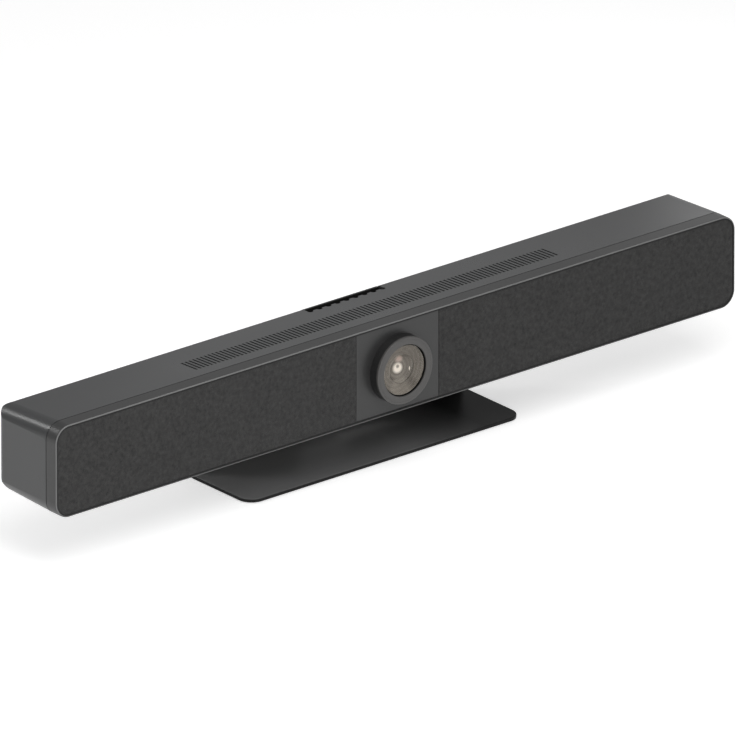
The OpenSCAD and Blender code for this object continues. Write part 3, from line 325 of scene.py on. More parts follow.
@dataclass(frozen=True)
class FrameMoulding(Moulding):
    """The front frame's plastic: its flat front, just inside the bead, is matt."""

    front: float = BAR_BACK + 0.6
    # On the rim bead this front skin is light grey: a painted highlight.
    shade: Colour = grey(0.027)

    def fill(self, graph: Graph) -> Wire:
        """As the moulding, mixed with a matt skin where the depth is in front of the bead's back.

        Args:
            graph: the material's nodes.

        Returns:
            The shader.
        """
        usual = super().fill(graph)
        _, y, _ = graph.axes(graph.place())
        skin = graph.surface(Base_Color=(*self.shade, 1.0), Roughness=0.7, Specular_IOR_Level=0.2)
        return graph.mixed(1 - (y / MM).over(self.front), usual, skin)


@dataclass(frozen=True)
class Spot:
    """A soft painted oval on the lens, in millimetres from the pupil: full as far as its core, gone at its
    edge.
    """

    across: float
    up: float
    core: float
    edge: float
    width: float = 1.0
    height: float = 1.0

    def mask(self, right: Wire, up: Wire) -> Wire:
        """1 less the held distance from its middle, each way measured in the oval's own width or height."""
        x, z = (right - self.across) / self.width, (up - self.up) / self.height
        return 1 - ((x * x + z * z) ** 0.5).held(self.core, self.edge)


@dataclass(frozen=True)
class PaintedLensReflections(Finish):
    """A glossy coated lens, its reflections painted: pale rings round a dark pupil, a warm ghost above."""

    # body is a warm grey that paints the reflected haze; pale, warm and dark paint highlights, ghost and
    # pupil.
    body: Colour = (0.150, 0.144, 0.137)
    pale: Colour = (0.95, 0.93, 0.90)
    warm: Colour = (0.74, 0.63, 0.62)
    dark: Colour = (0.06, 0.04, 0.04)
    # light is the strength of the painted glow, which shines as emission though the lens is no lamp.
    light: float = 0.20
    middle: tuple[float, float] = (-6.8, 3.4)
    ring_pitch: float = 4.4
    halo: tuple[float, float] = (8.6, 2.2)
    painted_fan_across: float = 3.0
    # Painted spots: glow and glint are highlights, ghost a reflection, pupil a painted dark centre.
    glow: Spot = Spot(0.0, 0.0, 3.6, 6.6)
    pupil: Spot = Spot(0.0, 1.9, 1.1, 2.5)
    ghost: Spot = Spot(2.2, 9.2, 1.6, 4.4, width=1.35)
    glint: Spot = Spot(15.5, -4.4, 0.5, 1.2, width=0.9, height=2.4)

    def fill(self, graph: Graph) -> Wire:
        """Painted reflections: rings are a wave over the distance from the pupil; glow, pupil, ghost and
        glint are soft painted ovals, and the painted fan below is the distance aside over the distance down.

        Args:
            graph: the material's nodes.

        Returns:
            The shader.
        """
        at = graph.place()
        x, _, z = graph.axes(at)
        right = x / MM - self.middle[0]
        up = z / MM - (LENS_Z + BAR_UP + self.middle[1])
        down = 0 - up
        radius = (right * right + up * up) ** 0.5
        smear = graph.noise(at, 500.0, 2.0)
        # The rings are painted reflections of the lens's inner rings.
        rings = (radius / self.ring_pitch + smear * 0.03).wave() * 0.34
        # The painted fan is a pale wedge of reflection below the pupil.
        painted_fan = 1 - (abs(right - self.painted_fan_across) / down.most(1.0)).held(0.35, 0.75)
        bright = self.glow.mask(right, up).most(self.glint.mask(right, up))
        pupil = self.pupil.mask(right, up)
        colour = graph.shades(rings + smear * 0.1, self.body, 0.8, 1.6)
        colour = graph.tint(painted_fan * down.held(7.0, 14.0) * 0.16, colour, self.pale)
        colour = graph.tint(self.ghost.mask(right, up) * 0.8, colour, self.warm)
        colour = graph.tint(radius.ringed(*self.halo) * 0.10, colour, self.pale)
        colour = graph.tint(bright, colour, self.pale)
        colour = graph.tint(pupil * 0.7, colour, self.dark)
        # Painted glow: the highlights shine as emission.
        lit = graph.tint((bright - pupil * 0.8).most(0.0), grey(0.0), grey(self.light))
        return graph.surface(Base_Color=colour, Roughness=smear * 0.05 + 0.12, Coat_Weight=0.6,
                             Coat_Roughness=0.03, Emission_Color=lit, Emission_Strength=1.0)


@dataclass(frozen=True)
class AcousticCloth(Finish):
    """Woven cloth: a plain weave of two yarns, each thread a little lighter or darker than the next."""

    warp: Colour = grey(0.018, 0.01)
    weft: Colour = grey(0.064, 0.015)
    pitch: float = 0.62

    def fill(self, graph: Graph) -> Wire:
        """Where the sum of the thread numbers is odd the weft is on top, else the warp; a thread is a half
        wave. Noise drawn out along each thread gives it its own tone.

        Args:
            graph: the material's nodes.

        Returns:
            The shader.
        """
        x, _, z = graph.axes(graph.place())
        across, up = x / (self.pitch * MM), z / (self.pitch * MM)
        rows, columns = up.whole(), across.whole()
        odd = ((rows + columns) * 0.5).part().over(0.25)
        over_warp = ((across.part() - 0.5) * math.pi).cosine()
        over_weft = ((up.part() - 0.5) * math.pi).cosine()
        crown = over_weft * odd + over_warp * (1 - odd)
        yarn_a = graph.noise(graph.joined(columns * 0.73, 0.0, up * 0.13), 1.0, 1.0)
        yarn_b = graph.noise(graph.joined(across * 0.11, 3.0, rows * 0.81), 1.0, 1.0)
        heather = (yarn_b * odd + yarn_a * (1 - odd) - 0.5) * 2.2 + 0.5
        mottle = graph.noise(graph.place(), 210.0, 3.0, 0.7).held(0.32, 0.68)
        slubs = graph.noise(graph.stretched(graph.place(), (300, 300, 230)), 1.0, 1.0).held(0.35, 0.65)
        soft = graph.noise(graph.place(), 14.0, 1.0)
        # The crown term lightens each thread's middle: painted shade in the gaps between threads.
        shade = heather * 0.2 + mottle * 0.5 + slubs * 0.2 + (soft - 0.5) * 0.15 + crown * 0.15 - 0.03
        colour = graph.tint(shade.held(0.0, 1.0), self.warp, self.weft)
        return graph.surface(Base_Color=colour, Roughness=0.9 - crown * 0.08, Specular_IOR_Level=0.25,
                             Sheen_Weight=0.12, Sheen_Roughness=0.5, Sheen_Tint=(0.8, 0.8, 0.8, 1.0),
                             Normal=graph.bump(crown * 0.8 + mottle * 0.2, 0.11 * MM))


@dataclass(frozen=True)
class PowderCoat(Finish):
    """Powder coat on steel: fine orange peel with a satin sheen and a little dust in broad patches."""

    colour: Colour = grey(0.012)
    roughness: float = 0.36
    peel: float = 1.1
    depth: float = 0.010
    specular: float = 0.5
    # The lightest multiple of the colour, reached by dust and by the painted pool of light.
    dust_and_painted_light_gain: float = 1.5
    # plate_top and above_plate pick out the plate; the two fades shape its painted pool of light.
    plate_top: tuple[float, float] = (3.9, 4.5)
    above_plate: tuple[float, float] = (5.0, 14.0)
    left_to_right: tuple[float, float] = (35.0, 130.0)
    front_to_back: tuple[float, float] = (-36.0, 10.0)

    def fill(self, graph: Graph) -> Wire:
        """The peel is soft noise and round cells. Dust lightens the coat a little everywhere; on the low flat
        plate a painted pool of light lightens it more, fading smoothly towards the right end and the front.

        Args:
            graph: the material's nodes.

        Returns:
            The shader.
        """
        at = graph.place()
        x, y, z = graph.axes(at)
        peel = graph.noise(at, 1 / (self.peel * MM), 2.0, 0.5)
        speck = graph.cells(at, 1.6 / (self.peel * MM))
        height = peel * 0.7 + speck * 0.3
        dust = graph.noise(at, 7.0, 4.0, 0.6).held(0.35, 0.8)
        # Painted light: a broad pool of light on the plate, strongest at the left and towards the back.
        flat = (z / MM).held(*self.plate_top) * (1 - (z / MM).held(*self.above_plate))
        back = (y / MM).held(*self.front_to_back) * 0.38 + 0.62
        painted_light_pool = (1 - (x / MM).held(*self.left_to_right)) * flat * back
        tone = dust * 0.06 + (peel - 0.5) * 0.05 + painted_light_pool * 0.92
        return graph.surface(Base_Color=graph.shades(tone.least(1.0), self.colour, 1.0, self.dust_and_painted_light_gain),
                             Roughness=dust * 0.06 + (height - 0.5) * 0.08 + self.roughness,
                             Specular_IOR_Level=self.specular, Normal=graph.bump(height, self.depth * MM))


@dataclass(frozen=True)
class BareMetal(Finish):
    """Plated or turned metal, with fine lines along one direction and tarnish in patches."""

    colour: Colour = grey(0.55)
    roughness: float = 0.32
    lines: Point = (40.0, 2500.0, 2500.0)
    tarnish: float = 0.25

    def fill(self, graph: Graph) -> Wire:
        """The lines are noise squeezed across them, and the tarnish is broad noise.

        Args:
            graph: the material's nodes.

        Returns:
            The shader.
        """
        at = graph.place()
        brushed = graph.noise(graph.stretched(at, self.lines), 1.0, 3.0, 0.6)
        patches = graph.noise(at, 60.0, 3.0, 0.6).held(0.4, 0.8)
        mask = patches * self.tarnish + (brushed - 0.5) * 0.4
        return graph.surface(Base_Color=graph.shades(mask, self.colour, 1.0, 0.55), Metallic=1.0,
                             Roughness=(brushed - 0.5) * 0.2 + patches * 0.1 + self.roughness,
                             Normal=graph.bump(brushed, 0.004 * MM))


@dataclass(frozen=True)
class SoftRubber(Finish):
    """Matt rubber: fine speckle, ribs along one axis where it grips."""

    colour: Colour = grey(0.014)
    rib_pitch: float = 0.0

    def fill(self, graph: Graph) -> Wire:
        """Ribs are a smooth wave along the depth; the speckle is fine noise.

        Args:
            graph: the material's nodes.

        Returns:
            The shader.
        """
        at = graph.place()
        _, y, _ = graph.axes(at)
        speckle = graph.noise(at, 1800.0, 3.0, 0.7)
        height = speckle * 0.3
        if self.rib_pitch:
            height = height + (y / (self.rib_pitch * MM)).wave() * 0.7
        return graph.surface(Base_Color=graph.shades((speckle - 0.3) * 0.8, self.colour, 1.0, 2.2),
                             Roughness=speckle * 0.15 + 0.72, Specular_IOR_Level=0.3,
                             Normal=graph.bump(height, 0.08 * MM))


@dataclass(frozen=True)
class CircuitBoard(Finish):
    """Solder mask over copper: tracks in a maze of cells, with round tinned pads here and there."""

    colour: Colour = (0.012, 0.075, 0.035)
    tin: Colour = (0.55, 0.53, 0.5)
    cell: float = 3.2

    def fill(self, graph: Graph) -> Wire:
        """Each cell's track runs across or up by a random number; a pad is a small disc in some cells.

        Args:
            graph: the material's nodes.

        Returns:
            The shader.
        """
        x, _, z = graph.axes(graph.place())
        u, v = x / (self.cell * MM), z / (self.cell * MM)
        chance = graph.node("ShaderNodeTexWhiteNoise", {"noise_dimensions": "3D"},
                            {0: graph.joined(u.whole(), v.whole(), 2.0)})
        along = chance.over(0.5)
        line = abs((u * 3).part() - 0.5) * along + abs((v * 3).part() - 0.5) * (1 - along)
        track = 1 - line.held(0.16, 0.24)
        du, dv = u.part() - 0.5, v.part() - 0.5
        pad = (1 - ((du * du + dv * dv) ** 0.5).held(0.16, 0.2)) * chance.over(0.72)
        copper = graph.shades(track * 0.7, self.colour, 1.0, 1.9)
        return graph.surface(Base_Color=graph.tint(pad, copper, self.tin), Metallic=pad,
                             Roughness=0.38 - pad * 0.1, Normal=graph.bump(track.most(pad), 0.03 * MM))


@dataclass(frozen=True)
class PressedPaper(Finish):
    """Felted cone paper, coated black: short fibres in every direction."""

    colour: Colour = grey(0.016)

    def fill(self, graph: Graph) -> Wire:
        """Fibres are two noises stretched at right angles.

        Args:
            graph: the material's nodes.

        Returns:
            The shader.
        """
        at = graph.place()
        one = graph.noise(graph.stretched(at, (200, 200, 2400)), 1.0, 3.0, 0.6)
        two = graph.noise(graph.stretched(at, (2400, 200, 200)), 1.0, 3.0, 0.6)
        fibre = one.most(two)
        return graph.surface(Base_Color=graph.shades(fibre.held(0.45, 0.8), self.colour, 1.0, 2.5),
                             Roughness=fibre * 0.1 + 0.65, Normal=graph.bump(fibre, 0.06 * MM))


@dataclass(frozen=True)
class CoatedGlass(Finish):
    """Coated optical glass: clear, with a reflection that grows towards the edge and a faint tint."""

    clear: Colour = (0.95, 0.93, 0.9)
    coat: Colour = (0.10, 0.085, 0.075)
    haze: float = 0.08
    strength: float = 1.6
    roughness: float = 0.02

    def fill(self, graph: Graph) -> Wire:
        """A Fresnel share of a glossy coat over clear, on front faces alone, with the faintest smears in
        the gloss.

        Args:
            graph: the material's nodes.

        Returns:
            The shader.
        """
        smear = graph.noise(graph.place(), 90.0, 3.0, 0.6)
        fresnel = graph.node("ShaderNodeFresnel", inputs={"IOR": self.strength})
        gloss = graph.surface(Base_Color=graph.shades(smear, self.coat, 0.9, 1.1), IOR=2.2,
                              Roughness=smear * 0.03 + self.roughness, Specular_IOR_Level=1.0)
        through = graph.node("ShaderNodeBsdfTransparent", inputs={0: (*self.clear, 1.0)})
        front = 1 - graph.node("ShaderNodeNewGeometry").out("Backfacing")
        return graph.mixed((fresnel + self.haze).least(1.0) * front, through, gloss)


class Finishes(Enum):
    """Every finish of the object, by what it is on."""

    HOUSING = Moulding("housing_plastic", colour=grey(0.053, -0.02), roughness=0.31)
    FRAME = FrameMoulding("frame_plastic", colour=grey(0.037))
    # The bead's light front skin is a painted highlight along the rim.
    BEAD = FrameMoulding("rim_bead_painted_highlight", colour=grey(0.045), roughness=0.36, grain=0.3, depth=0.004,
                         front=BAR_BACK + 0.75, shade=grey(0.20))
    CLOTH = AcousticCloth("acoustic_cloth")
    CARRIER = Moulding("carrier_plastic", colour=grey(0.010), roughness=0.6)
    PANEL = Moulding("panel_plastic", colour=grey(0.033), roughness=0.38, depth=0.005)
    COLLAR = Moulding("collar_plastic", colour=grey(0.078, 0.03), roughness=0.40, depth=0.005)
    COLLAR_SIDE = Moulding("collar_side_plastic", colour=grey(0.018), roughness=0.45, depth=0.006)
    HOOD = Moulding("hood_black", colour=grey(0.004), roughness=0.7, depth=0.006, specular=0.1)
    BARREL = Moulding("barrel_black", colour=grey(0.012), roughness=0.35, depth=0.004)
    GLASS = CoatedGlass("cover_glass_coated", haze=0.0, strength=1.45)
    # The front element and the lens bezel wear painted reflections, highlights and a painted glow.
    ELEMENT = PaintedLensReflections("front_element_painted_reflections")
    LENS = CoatedGlass("lens_glass_coated", clear=(0.72, 0.66, 0.6), coat=(0.06, 0.035, 0.05), haze=0.12,
                       strength=1.9)
    SENSOR = Moulding("sensor_die", colour=(0.01, 0.015, 0.03), roughness=0.15, depth=0.002)
    ZINC = BareMetal("zinc_sheet", colour=grey(0.5, 0.01))
    PIN = BareMetal("turned_steel", colour=grey(0.5), lines=(3000.0, 30.0, 30.0), roughness=0.28)
    BOARD = CircuitBoard("solder_mask")
    ALLOY = BareMetal("anodised_fins", colour=grey(0.10), roughness=0.4, lines=(2500.0, 40.0, 40.0))
    MOULDED_BLACK = Moulding("moulded_black", colour=grey(0.010), roughness=0.45)
    ENCLOSURE = Moulding("enclosure_plastic", colour=grey(0.014), roughness=0.55, grain=0.8, depth=0.03)
    BASKET = PowderCoat("basket_paint", colour=grey(0.02))
    MAGNET = BareMetal("magnet_plating", colour=grey(0.18), roughness=0.45, tarnish=0.5)
    CONE = PressedPaper("cone_paper")
    SURROUND = SoftRubber("surround_rubber")
    BRASS = BareMetal("turned_brass", colour=(0.62, 0.42, 0.16), roughness=0.25, lines=(60.0, 2600.0, 60.0))
    GOLD = BareMetal("contact_gold", colour=(0.83, 0.58, 0.22), roughness=0.2, tarnish=0.1)
    SOCKET = BareMetal("socket_shell", colour=grey(0.62), roughness=0.24, tarnish=0.15)
    SOCKET_CORE = Moulding("socket_core", colour=grey(0.008), roughness=0.4)
    SCREW = BareMetal("black_zinc", colour=grey(0.05), roughness=0.38)
    # The high gain lifts the painted pool of light on the stand's plate.
    STAND = PowderCoat("stand_coat_painted_light", colour=grey(0.019), roughness=0.34, specular=0.06, dust_and_painted_light_gain=13.0)
    FOOT = SoftRubber("foot_rubber", rib_pitch=1.4)
    BUTTON = Moulding("button_plastic", colour=grey(0.024), roughness=0.34)
    MARK = Moulding("mark_print", colour=grey(0.42), roughness=0.5)


# Surfaces


class Shell:
    """Gathers grids of points and flat caps into one closed mesh."""

    def __init__(self) -> None:
        """Starts with nothing."""
        self.points: list[Array] = []
        self.faces: list[list[int]] = []
        self.count = 0

    def grid(self, points: Array, loop_u: bool = False, loop_v: bool = False) -> "Shell":
        """Adds a sheet of quads over a grid of points.

        Args:
            points: an array of rows by columns by three, in metres.
            loop_u: whether the last row joins the first.
            loop_v: whether the last column joins the first.

        Returns:
            The shell, so that calls can follow each other.
        """
        rows, columns = points.shape[:2]
        u, v = np.meshgrid(np.arange(rows if loop_u else rows - 1),
                           np.arange(columns if loop_v else columns - 1), indexing="ij")
        un, vn = (u + 1) % rows, (v + 1) % columns
        quads = np.stack([u * columns + v, un * columns + v, un * columns + vn, u * columns + vn], -1)
        self.faces += (quads.reshape(-1, 4) + self.count).tolist()
        self.points.append(points.reshape(-1, 3))
        self.count += rows * columns
        return self

    def cap(self, loop: Array) -> "Shell":
        """Adds one flat face round a loop of points.

        Args:
            loop: points once round, in metres.

        Returns:
            The shell.
        """
        self.points.append(loop.reshape(-1, 3))
        self.faces.append(list(range(self.count, self.count + len(loop))))
        self.count += len(loop)
        return self

    def build(self, name: str, finish: Finishes, body: Body, slot: str, crease: float = 32.0,
              stands_for: Iterable[str] = ()) -> bpy.types.Object:
        """Makes the object, welds its seams, turns its faces outwards and dresses it.

        Args:
            name: the piece's name.
            finish: what it is made of.
            body: the moving group it rides on.
            slot: a material slot's name, which is not used.
            crease: edges sharper than this many degrees stay sharp.
            stands_for: the CAD nodes it replaces.

        Returns:
            The finished object.
        """
        mesh = bpy.data.meshes.new(name)
        mesh.from_pydata(np.vstack(self.points), [], self.faces)
        work = bmesh.new()
        work.from_mesh(mesh)
        bmesh.ops.remove_doubles(work, verts=work.verts, dist=WELD)
        bmesh.ops.dissolve_degenerate(work, dist=SLIVER, edges=work.edges)
        bmesh.ops.recalc_face_normals(work, faces=work.faces)
        work.to_mesh(mesh)
        work.free()
        mesh.shade_smooth()
        mesh.set_sharp_from_angle(angle=math.radians(crease))
        made = bpy.data.objects.new(name, mesh)
        bpy.context.scene.collection.objects.link(made)
        mesh.materials.append(finish.value.material())
        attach(made, body.value)
        nodes = list(stands_for)
        if nodes:
            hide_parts(*nodes)
        LOG.info("%s: %d faces, stands for %s", name, len(mesh.polygons), nodes or "nothing")
        return made


def thicken(sheet: bpy.types.Object, thickness: float, offset: float = -1.0) -> None:
    """Gives a sheet a thickness.

    Args:
        sheet: the object that holds the sheet.
        thickness: the wall, in millimetres.
        offset: -1 puts the wall on the inner side and 0 on both sides alike.
    """
    added = sheet.modifiers.new("thickness", "SOLIDIFY")
    added.thickness = thickness * MM
    added.offset = offset


def turned(profile: Profile, centre: Sequence[float], axis: Axis = Axis.BACK, steps: int = 96) -> Array:
    """A profile carried round an axis: each point goes to centre + depth * axis + radius * (cos, sin).

    Args:
        profile: pairs of radius and depth along the axis, in millimetres.
        centre: the point on the axis at depth 0, in the bar's millimetres.
        axis: which way the depth runs.
        steps: how many steps make a full turn.

    Returns:
        A grid of points in metres, with the turn as its looped first way.
    """
    rows = np.asarray(profile, float)
    angle = np.linspace(0, math.tau, steps, endpoint=False)[:, None, None]
    along, one, two = (np.array(way, float) for way in axis.value)
    circle = np.cos(angle) * one + np.sin(angle) * two
    return placed(np.asarray(centre, float) + rows[:, :1] * circle + rows[:, 1:] * along)


def arc_at(radius: Union[float, Array], angle: Array, depth: float) -> Array:
    """Points round an axis that runs back: radius * (cos, sin) across and up, all at one depth."""
    return np.stack([radius * np.cos(angle), np.full_like(angle, depth), radius * np.sin(angle)], -1)


def path(*runs: Union[Array, Sequence[float], Sequence[Sequence[float]]]) -> Array:
    """Single points and runs of points joined into one profile."""
    return np.vstack([np.atleast_2d(run) for run in runs])


def stair(radii: Array, depth: Array, step: Sequence[float]) -> Array:
    """A profile of steps: every point of radius and depth is followed by itself moved by one step."""
    first = np.stack([radii, depth], -1)
    return np.stack([first, first + np.asarray(step)], 1).reshape(-1, 2)


def fillet(corner: Sequence[float], start: Sequence[float], end: Sequence[float], radius: float,
           steps: int = 6) -> Array:
    """The arc that rounds a square corner of a profile: centre - radius * (end * cos + start * sin).

    Args:
        corner: the corner's point.
        start: a unit step from the corner towards the point before it.
        end: a unit step from the corner towards the point after it.
        radius: the arc's radius.
        steps: how many pieces the arc has.

    Returns:
        Points along the arc, from the side of start to the side of end.
    """
    a, b = np.array(start, float), np.array(end, float)
    centre = np.array(corner, float) + radius * (a + b)
    turn = np.linspace(0, math.pi / 2, steps + 1)[:, None]
    return centre - radius * (b * np.cos(turn) + a * np.sin(turn))


def rounded_loop(width: float, height: float, radii: Sequence[float], steps: int = 14) -> tuple[Array, Array]:
    """A rectangle with round corners, walked once round, with the direction outwards at every point.

    Args:
        width: across, in millimetres.
        height: up, in millimetres.
        radii: the corners' radii, from the upper right, anticlockwise.
        steps: pieces in each corner's arc.

    Returns:
        The points and the outward directions, each as rows of across and up about the middle.
    """
    signs = np.array([(1, 1), (-1, 1), (-1, -1), (1, -1)], float)
    turn = np.linspace(0, math.pi / 2, steps + 1)
    angles = turn[None, :] + np.arange(4)[:, None] * math.pi / 2
    out = np.stack([np.cos(angles), np.sin(angles)], -1)
    r = np.asarray(radii, float)[:, None, None]
    middle = signs[:, None, :] * (np.array([width, height]) / 2 - r)
    return (middle + r * out).reshape(-1, 2), out.reshape(-1, 2)


def ring(loop: tuple[Array, Array], profile: Profile, centre: Sequence[float]) -> Array:
    """A profile carried round a loop in the upright plane: inset moves a point inwards, depth moves it back.

    Args:
        loop: points and outward directions.
        profile: pairs of inset and depth, in millimetres.
        centre: across and up of the loop's middle, in the bar's millimetres.

    Returns:
        A grid in metres, with the loop as its looped first way.
    """
    points, out = loop
    rows = np.asarray(profile, float)
    flat = points[:, None, :] + np.asarray(centre, float) - out[:, None, :] * rows[None, :, :1]
    depth = np.broadcast_to(rows[None, :, 1], flat.shape[:2])
    return placed(np.stack([flat[..., 0], depth, flat[..., 1]], -1))


def mirrored(points: Array) -> Array:
    """The same points on the other side of the middle."""
    return points * np.array([-1.0, 1.0, 1.0])


def side_name(side: int) -> str:
    """Left for -1 and right for 1."""
    return "left" if side < 0 else "right"


# Sub-assemblies


@dataclass
class FrontFrame:
    """The rounded ring round the front, with the bead that softens its edge; its front is a painted
    highlight.
    """

    bead: float = 1.4
    sink: float = 0.25

    def build(self) -> None:
        """The bead is a quarter circle that meets the frame's front and side without a step."""
        turn = np.linspace(0, math.pi / 2, 9)
        nose = self.bead * (1 - np.stack([np.sin(turn), np.cos(turn)], -1))
        deep = self.bead + self.sink
        loop = rounded_loop(BAR_W, BAR_H, [BAR_CORNER] * 4, 20)
        points = ring(loop, path(nose, (self.sink, deep), (deep, self.sink)), (0, MID_Z))
        Shell().grid(points, True, True).build("front_rim_bead", Finishes.BEAD, Body.BAR, "rim")


@dataclass
class Grilles:
    """Cloth panels: a flat front whose edges roll over the carrier."""

    inner: float = 54.2
    outer_inset: float = 3.1
    front: float = 0.3
    thickness: float = 1.7
    roll: float = 0.4
    sharp: float = 0.6

    def build(self) -> None:
        """Each cloth is a loop with a quarter-round edge, capped in front and behind."""
        outer = BAR_W / 2 - self.outer_inset
        round_r = BAR_CORNER - self.outer_inset
        loop = rounded_loop(outer - self.inner, BAR_H - 2 * self.outer_inset,
                            [round_r, self.sharp, self.sharp, round_r])
        edge = fillet((0, self.front), (0, 1), (1, 0), self.roll, 5)
        profile = path((0, self.front + self.thickness), edge)
        points = ring(loop, profile, ((outer + self.inner) / 2, MID_Z))
        for side in SIDES:
            shape = points if side > 0 else mirrored(points)
            Shell().grid(shape, True).cap(shape[:, -1]).cap(shape[:, 0]).build(
                f"{side_name(side)}_cloth", Finishes.CLOTH, Body.BAR, "cloth",
                stands_for=[f"{side_name(side)}_grille"])


@dataclass
class LensUnit:
    """The collar, the black gasket, the glass and what shows through it."""

    collar_r: float = 36.0
    groove_r: float = 33.15
    mouth_r: float = 27.6
    bezel_r: float = 26.4
    bore_r: float = 25.6
    spigot_r: float = 33.5
    lens_r: float = 15.0
    face: float = -11.6
    gasket_front: float = -10.5
    split: float = -9.0
    gasket_back: float = -7.7
    glass_back: float = -6.1
    barrel_front: float = -5.8
    seat: float = 0.725
    rear: float = 7.3
    blades: int = 9
    iris_r: float = 7.8
    stop_r: float = 4.2
    iris_depth: float = 4.5
    centre: Point = (0.0, 0.0, LENS_Z)

    def lathe(self, name: str, finish: Finishes, slot: str, profile: Profile, crease: float = 32.0,
              stands_for: Sequence[str] = (), steps: int = 160, closed: bool = True) -> None:
        """Turns a profile round the lens's axis and dresses it.

        Args:
            name: the piece's name.
            finish: what it is made of.
            slot: passed on to the shell, which does not use it.
            profile: pairs of radius and depth.
            crease: edges sharper than this many degrees stay sharp.
            stands_for: the CAD nodes it replaces.
            steps: how many steps make a full turn.
            closed: whether the profile's last point joins its first.
        """
        Shell().grid(turned(profile, self.centre, steps=steps), True, closed).build(
            name, finish, Body.BAR, slot, crease, stands_for)

    def collar(self) -> None:
        """The face is a flat ring with rounded edges and one shallow groove; the duller body goes on behind
        the line where the two meet."""
        rim, mouth, groove, face = self.collar_r, self.mouth_r, self.groove_r, self.face
        edge = fillet((rim, face), (0, 1), (-1, 0), 0.9)
        bottom = face + 0.14
        dip = [(groove + 0.45, face), (groove + 0.35, bottom), (groove + 0.1, bottom), (groove, face)]
        lip = fillet((mouth, face), (1, 0), (0, 1), 0.6)
        meet = [(mouth, face + 1.6), (mouth + 0.8, self.split)]
        front = path((rim, self.split), edge, dip, lip, meet)
        self.lathe("collar_face", Finishes.COLLAR, "collar", front, 40)
        body = [(rim, self.split), (rim, self.seat), (self.spigot_r, self.seat), (self.spigot_r, self.rear),
                (self.bore_r, self.rear), (self.bore_r, self.glass_back), (mouth, self.glass_back), *meet]
        self.lathe("collar_body", Finishes.COLLAR_SIDE, "collar", body, stands_for=["lens_ring"])

    def mouth(self) -> None:
        """A black gasket holds the round-fronted cover glass; behind it fine steps lead in to the lens."""
        outer, inner, front = self.mouth_r - 0.1, self.mouth_r - 0.9, self.gasket_front
        back = self.gasket_back
        gasket = [(outer, front), (inner + 0.2, front + 0.15), (inner, front + 0.7), (inner, back),
                  (outer, back)]
        self.lathe("glass_gasket", Finishes.HOOD, "lens_black", gasket, 30, ["lens_hood"])
        self.dome("cover_dome", radius=inner - 0.05, apex=-10.7, swell=1.2, back=-9.15,
                  finish=Finishes.GLASS, stands_for=["cover_glass"])
        radii = np.linspace(self.bezel_r, self.bezel_r - 10, 8)
        steps = stair(radii, self.split + 0.27 * (self.bezel_r - radii), (-0.9, 0.12))
        inmost = self.lens_r + 0.3
        bezel = path(steps, (inmost, self.glass_back), (inmost, -5.9), (24, -6.2), (self.bezel_r, back))
        # The bezel wears the lens's painted reflections, so the painted rings run on past the lens.
        self.lathe("lens_bezel", Finishes.ELEMENT, "glass", bezel, 24)

    def barrel(self) -> None:
        """The barrel's front is a stair of fine rings down to the front lens; behind it is a plain tube."""
        y = self.barrel_front
        rise, rings = 0.35, 6
        radii = np.linspace(22.6, 16.6, rings)
        steps = stair(radii + 0.25, y + rise * np.arange(rings), (-0.25, rise))
        tube = [(15.1, y + 2.1), (15.05, y + 5.05), (8, y + 5.05), (8, y + 19), (9.05, y + 19),
                (9.05, y + 31), (16, y + 31), (16, y + 17), (19, y + 17), (19, y + 3)]
        self.lathe("stepped_barrel", Finishes.BARREL, "lens_black",
                   path((24, y + 3), (24, y + 0.4), (23.8, y), steps, tube), 24, ["lens_barrel"], 144)

    def dome(self, name: str, radius: float, apex: float, swell: float, back: float, finish: Finishes,
             stands_for: Sequence[str] = ()) -> None:
        """A lens with a round front: depth = apex + R - sqrt(R^2 - r^2), with R from radius and swell.

        Args:
            name: the piece's name.
            radius: the lens's radius.
            apex: the depth of its foremost point.
            swell: how much deeper its rim is.
            back: the depth of its flat rear face.
            finish: what it is made of.
            stands_for: the CAD nodes it replaces.
        """
        ball = (radius * radius + swell * swell) / (2 * swell)
        r = np.linspace(0, radius, 22)
        front = np.stack([r, apex + ball - np.sqrt(ball * ball - r * r)], -1)
        self.lathe(name, finish, "glass", path(front, (radius, back), (0, back)), 40, stands_for, 96, False)

    def iris(self) -> None:
        """Each blade is a crescent from an arc on the rim to a lip whose radius grows as the square of the
        way along, and lies a little behind the blade before."""
        t = np.linspace(0, 1, 13)
        lip_r = self.stop_r + (self.iris_r - self.stop_r) * t ** 2
        shell = Shell()
        for number in range(self.blades):
            angle = math.tau * number / self.blades + t * 1.15
            depth = self.iris_depth + 0.02 * number
            rim, lip = arc_at(self.iris_r, angle, depth), arc_at(lip_r, angle - 0.25, depth + 0.12)
            shell.grid(placed(np.stack([rim, lip]) + np.array(self.centre)))
        thicken(shell.build("iris_blades", Finishes.BARREL, Body.BAR, "lens_black", 20), 0.08)

    def build(self) -> None:
        """Builds the unit from the outside in."""
        self.collar()
        self.mouth()
        self.barrel()
        # The front element wears painted reflections and a painted glow.
        self.dome("front_element", radius=self.lens_r, apex=-8.3, swell=2.2, back=-0.8,
                  finish=Finishes.ELEMENT, stands_for=["front_lens"])
        self.dome("second_element", radius=7.9, apex=0.4, swell=1.9, back=3.4, finish=Finishes.LENS)
        self.iris()


